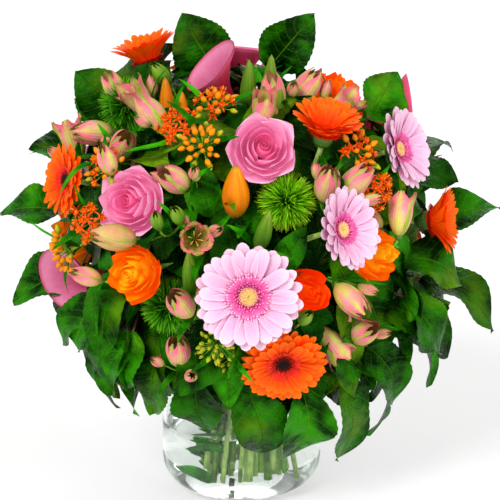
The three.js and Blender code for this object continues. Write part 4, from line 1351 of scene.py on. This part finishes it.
def filler(plants):
    """More leaves of the lemon-leaf branches, which close the dome between and behind the flowers.
    A deep layer closes off the light, and an outer layer shows between the heads and hangs below."""
    branches = [p for p in plants if p.kind == "leaves"]
    shapes = {p.name: Shape(p.name + "_inner_leaves") for p in branches}
    rnd = dice("filler")
    keep_off = heads(plants)
    for layer, count in FILLER_LEAVES:
        for i in range(count):
            z = 1 - 1.84 * (i + 0.5) / count
            out = ball_direction(z, i)
            low = z < -0.25 and layer == "outer"
            reach = rnd.uniform(0.82, 1.0) if low else rnd.uniform(0.66, 0.86)
            size = rnd.uniform(64, 92) if low else rnd.uniform(48, 78)
            more = 0.35 * size / DOME_RADIUS if low else 0
            if layer == "deep":
                reach = rnd.uniform(0.46, 0.64)
            elif any(math.acos(np.clip(out.dot(way), -1, 1)) < gap + more for way, gap in keep_off):
                continue
            rise = math.asin(z)
            surface = 1 / math.hypot(math.cos(rise) / DOME_RADIUS, math.sin(rise) / DOME_HALF_HEIGHT)
            middle = DOME_CENTRE + out * surface * reach
            if low:
                along = unit(out * 0.5 + np.array([0, 0, -0.6]) + rnd.normal(0, 0.35, 3))
            else:
                along = unit(np.cross(out, rnd.normal(0, 1, 3)) + out * rnd.uniform(0.0, 0.6))
            base, tip = middle - along * size * 0.5, middle + along * size * 0.5
            if hides_a_face(base, tip):
                continue
            branch = min(branches, key=lambda p: np.linalg.norm(p.end - base))
            shape = shapes[branch.name]
            upper = unit(out + rnd.normal(0, 0.25, 3) + np.array([0, 0, 0.3]))
            look = "lemon_leaf" if rnd.random() > 0.12 or layer == "deep" else "lemon_leaf_back"
            blade(shape, look, base, tip, size * rnd.uniform(0.5, 0.62), upper, rows=18, cols=7,
                  arch=rnd.uniform(-0.05, 0.18), wave=0.09, curl=rnd.uniform(-0.05, 0.2),
                  swing=rnd.normal(0, 0.04))
            bow = (branch.end + base) / 2 - out * 14
            tube(shape, "twig", [branch.end, bow, base], 0.8, 5)
    for shape in shapes.values():
        if shape.points:
            piece = shape.build()
            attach(piece, "root")


# ---- Vase, water and tie ----

def rounded_foot(radius, corner, bottom):
    """The quarter circle of the vase's foot as (radius, height) pairs."""
    a = np.linspace(0, math.pi / 2, 14)
    return [(radius - corner + corner * math.sin(x), bottom + corner - corner * math.cos(x)) for x in a]


def vase():
    shape = Shape("vase_look")
    inner, inner_corner = VASE_RADIUS - VASE_WALL, VASE_CORNER - VASE_WALL
    inside = rounded_foot(inner, inner_corner, VASE_FLOOR)[::-1]
    half = 0.5 * VASE_WALL
    lip = [(VASE_RADIUS - half + half * math.cos(a), VASE_HEIGHT - half + half * math.sin(a))
           for a in np.linspace(0, math.pi, 9)]
    wall = [(VASE_RADIUS, h) for h in np.linspace(VASE_CORNER, VASE_HEIGHT - 4, 8)[1:]]
    inner_wall = [(inner, h) for h in np.linspace(VASE_HEIGHT - 4, VASE_CORNER + VASE_FLOOR, 8)]
    profile = [(0.02, 0.6), (30, 0.6), (34, 0)] + rounded_foot(VASE_RADIUS, VASE_CORNER, 0)[1:] + wall + lip
    profile += inner_wall + inside + [(20, VASE_FLOOR - 0.5), (0.02, VASE_FLOOR - 0.8)]
    lathe(shape, "glass", profile, 96, 0, tint=0.5)
    piece = shape.build()
    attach(piece, "root")
    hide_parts("vase")


def water():
    shape = Shape("water_look")
    into_glass = 0.3
    inner, inner_corner = VASE_RADIUS - VASE_WALL + into_glass, VASE_CORNER - VASE_WALL + into_glass
    foot = rounded_foot(inner, inner_corner, VASE_FLOOR - into_glass)
    level = [(inner, WATER_LEVEL + 0.9), (inner - 0.8, WATER_LEVEL + 0.3), (inner - 2.5, WATER_LEVEL)]
    profile = [(0.02, VASE_FLOOR - 1.2)] + foot + [(inner, 45), (inner, 58)] + level
    profile += [(30, WATER_LEVEL), (0.02, WATER_LEVEL)]
    lathe(shape, "water", profile, 96, 0, tint=0.5)
    piece = shape.build()
    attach(piece, "root")
    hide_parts("water")


def tie():
    """Several turns of raffia round the stems."""
    shape = Shape("tie_look")
    for i in range(RAFFIA_TURNS):
        height = BIND_HEIGHT - TIE_HEIGHT + 1 + i * (TIE_HEIGHT - 2) / (RAFFIA_TURNS - 1)
        a = np.linspace(0, 2 * math.pi, 49)
        radius = BIND_RADIUS + 2.8 + 0.5 * np.sin(3 * a + i)
        path = polar(radius, a, height + 0.8 * np.sin(2 * a + 2 * i))
        tube(shape, "raffia", path, RAFFIA_RADIUS, 6)
    piece = shape.build()
    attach(piece, "root")
    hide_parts("tie")


# ---- Camera, floor and light ----

CAMERA_LENS = 184.32
CAMERA_SENSOR = 36.0
CAMERA_RISE = 14.5  # degrees, the photograph's viewing angle
CAMERA_DISTANCE = 2.4  # metres
CAMERA_TARGET = np.array([0.008, 0.0, 0.231])
ROOM_LIGHT = (0.42, 1.0)  # the world's strength for soft light, and where it is seen straight or mirrored
# Each sun is (name, the way it shines from, its strength, its softness in degrees).
SUNS = [
    ("key", (-0.45, -0.85, 0.7), 2.05, 22), ("fill", (0.8, -0.6, 0.5), 1.1, 50),
    ("back", (0.1, 0.9, 0.6), 0.9, 40),
]


def stage():
    """The camera, a white floor, and soft light that is strongest from the upper left front."""
    scene = bpy.context.scene
    camera_data = bpy.data.cameras.new("Camera")
    camera_data.lens = CAMERA_LENS
    camera_data.sensor_width = CAMERA_SENSOR
    camera_data.clip_end = 40
    camera = bpy.data.objects.new("Camera", camera_data)
    scene.collection.objects.link(camera)
    tilt = math.radians(CAMERA_RISE)
    camera.location = CAMERA_TARGET + CAMERA_DISTANCE * np.array([0, -math.cos(tilt), math.sin(tilt)])
    camera.rotation_euler = (math.pi / 2 - tilt, 0, 0)
    scene.camera = camera

    size, level = 12.0, -0.0004
    corners = [(-size, -size, level), (size, -size, level), (size, size, level), (-size, size, level)]
    floor_mesh = bpy.data.meshes.new("floor")
    floor_mesh.from_pydata(corners, [], [(0, 1, 2, 3)])
    paper = Nodes("floor_paper")
    grain = paper.ramp(paper.noise(40.0), [(0.3, (0.52, 0.52, 0.52, 1)), (0.7, (0.54, 0.54, 0.54, 1))])
    paper.shader.inputs["Emission Color"].default_value = (1, 1, 1, 1)
    floor_mesh.materials.append(paper.finish(grain, 0.9, Emission_Strength=0.52, Specular_IOR_Level=0.0))
    floor = bpy.data.objects.new("floor", floor_mesh)
    scene.collection.objects.link(floor)

    world = bpy.data.worlds.new("studio")
    world.use_nodes = True
    tree = world.node_tree
    background = tree.nodes["Background"]
    background.inputs["Color"].default_value = (1, 1, 1, 1)
    path = tree.nodes.new("ShaderNodeLightPath")
    seen = path.outputs["Is Camera Ray"]
    for kind in ("Is Transmission Ray", "Is Singular Ray"):
        either = tree.nodes.new("ShaderNodeMath")
        either.operation = "MAXIMUM"
        tree.links.new(seen, either.inputs[0])
        tree.links.new(path.outputs[kind], either.inputs[1])
        seen = either.outputs[0]
    strength = tree.nodes.new("ShaderNodeMapRange")
    strength.inputs["To Min"].default_value, strength.inputs["To Max"].default_value = ROOM_LIGHT
    tree.links.new(seen, strength.inputs["Value"])
    tree.links.new(strength.outputs["Result"], background.inputs["Strength"])
    scene.world = world

    for name, way, power, spread in SUNS:
        data = bpy.data.lights.new(name, "SUN")
        data.energy = power
        data.angle = math.radians(spread)
        lamp = bpy.data.objects.new(name, data)
        steep, around = math.acos(way[2] / math.hypot(*way)), math.atan2(way[1], way[0])
        lamp.rotation_euler = (steep, 0, around + math.pi / 2)
        scene.collection.objects.link(lamp)
    scene.cycles.max_bounces = 24
    scene.cycles.transmission_bounces = 24
    scene.cycles.glossy_bounces = 16
    scene.view_settings.view_transform = "Standard"
    scene.view_settings.look = "None"


PLANTS = all_plants()
grow_stems(PLANTS)
FACES = faces(PLANTS)
for each in PLANTS:
    build_plant(each)
filler(PLANTS)
vase()
water()
tie()
stage()
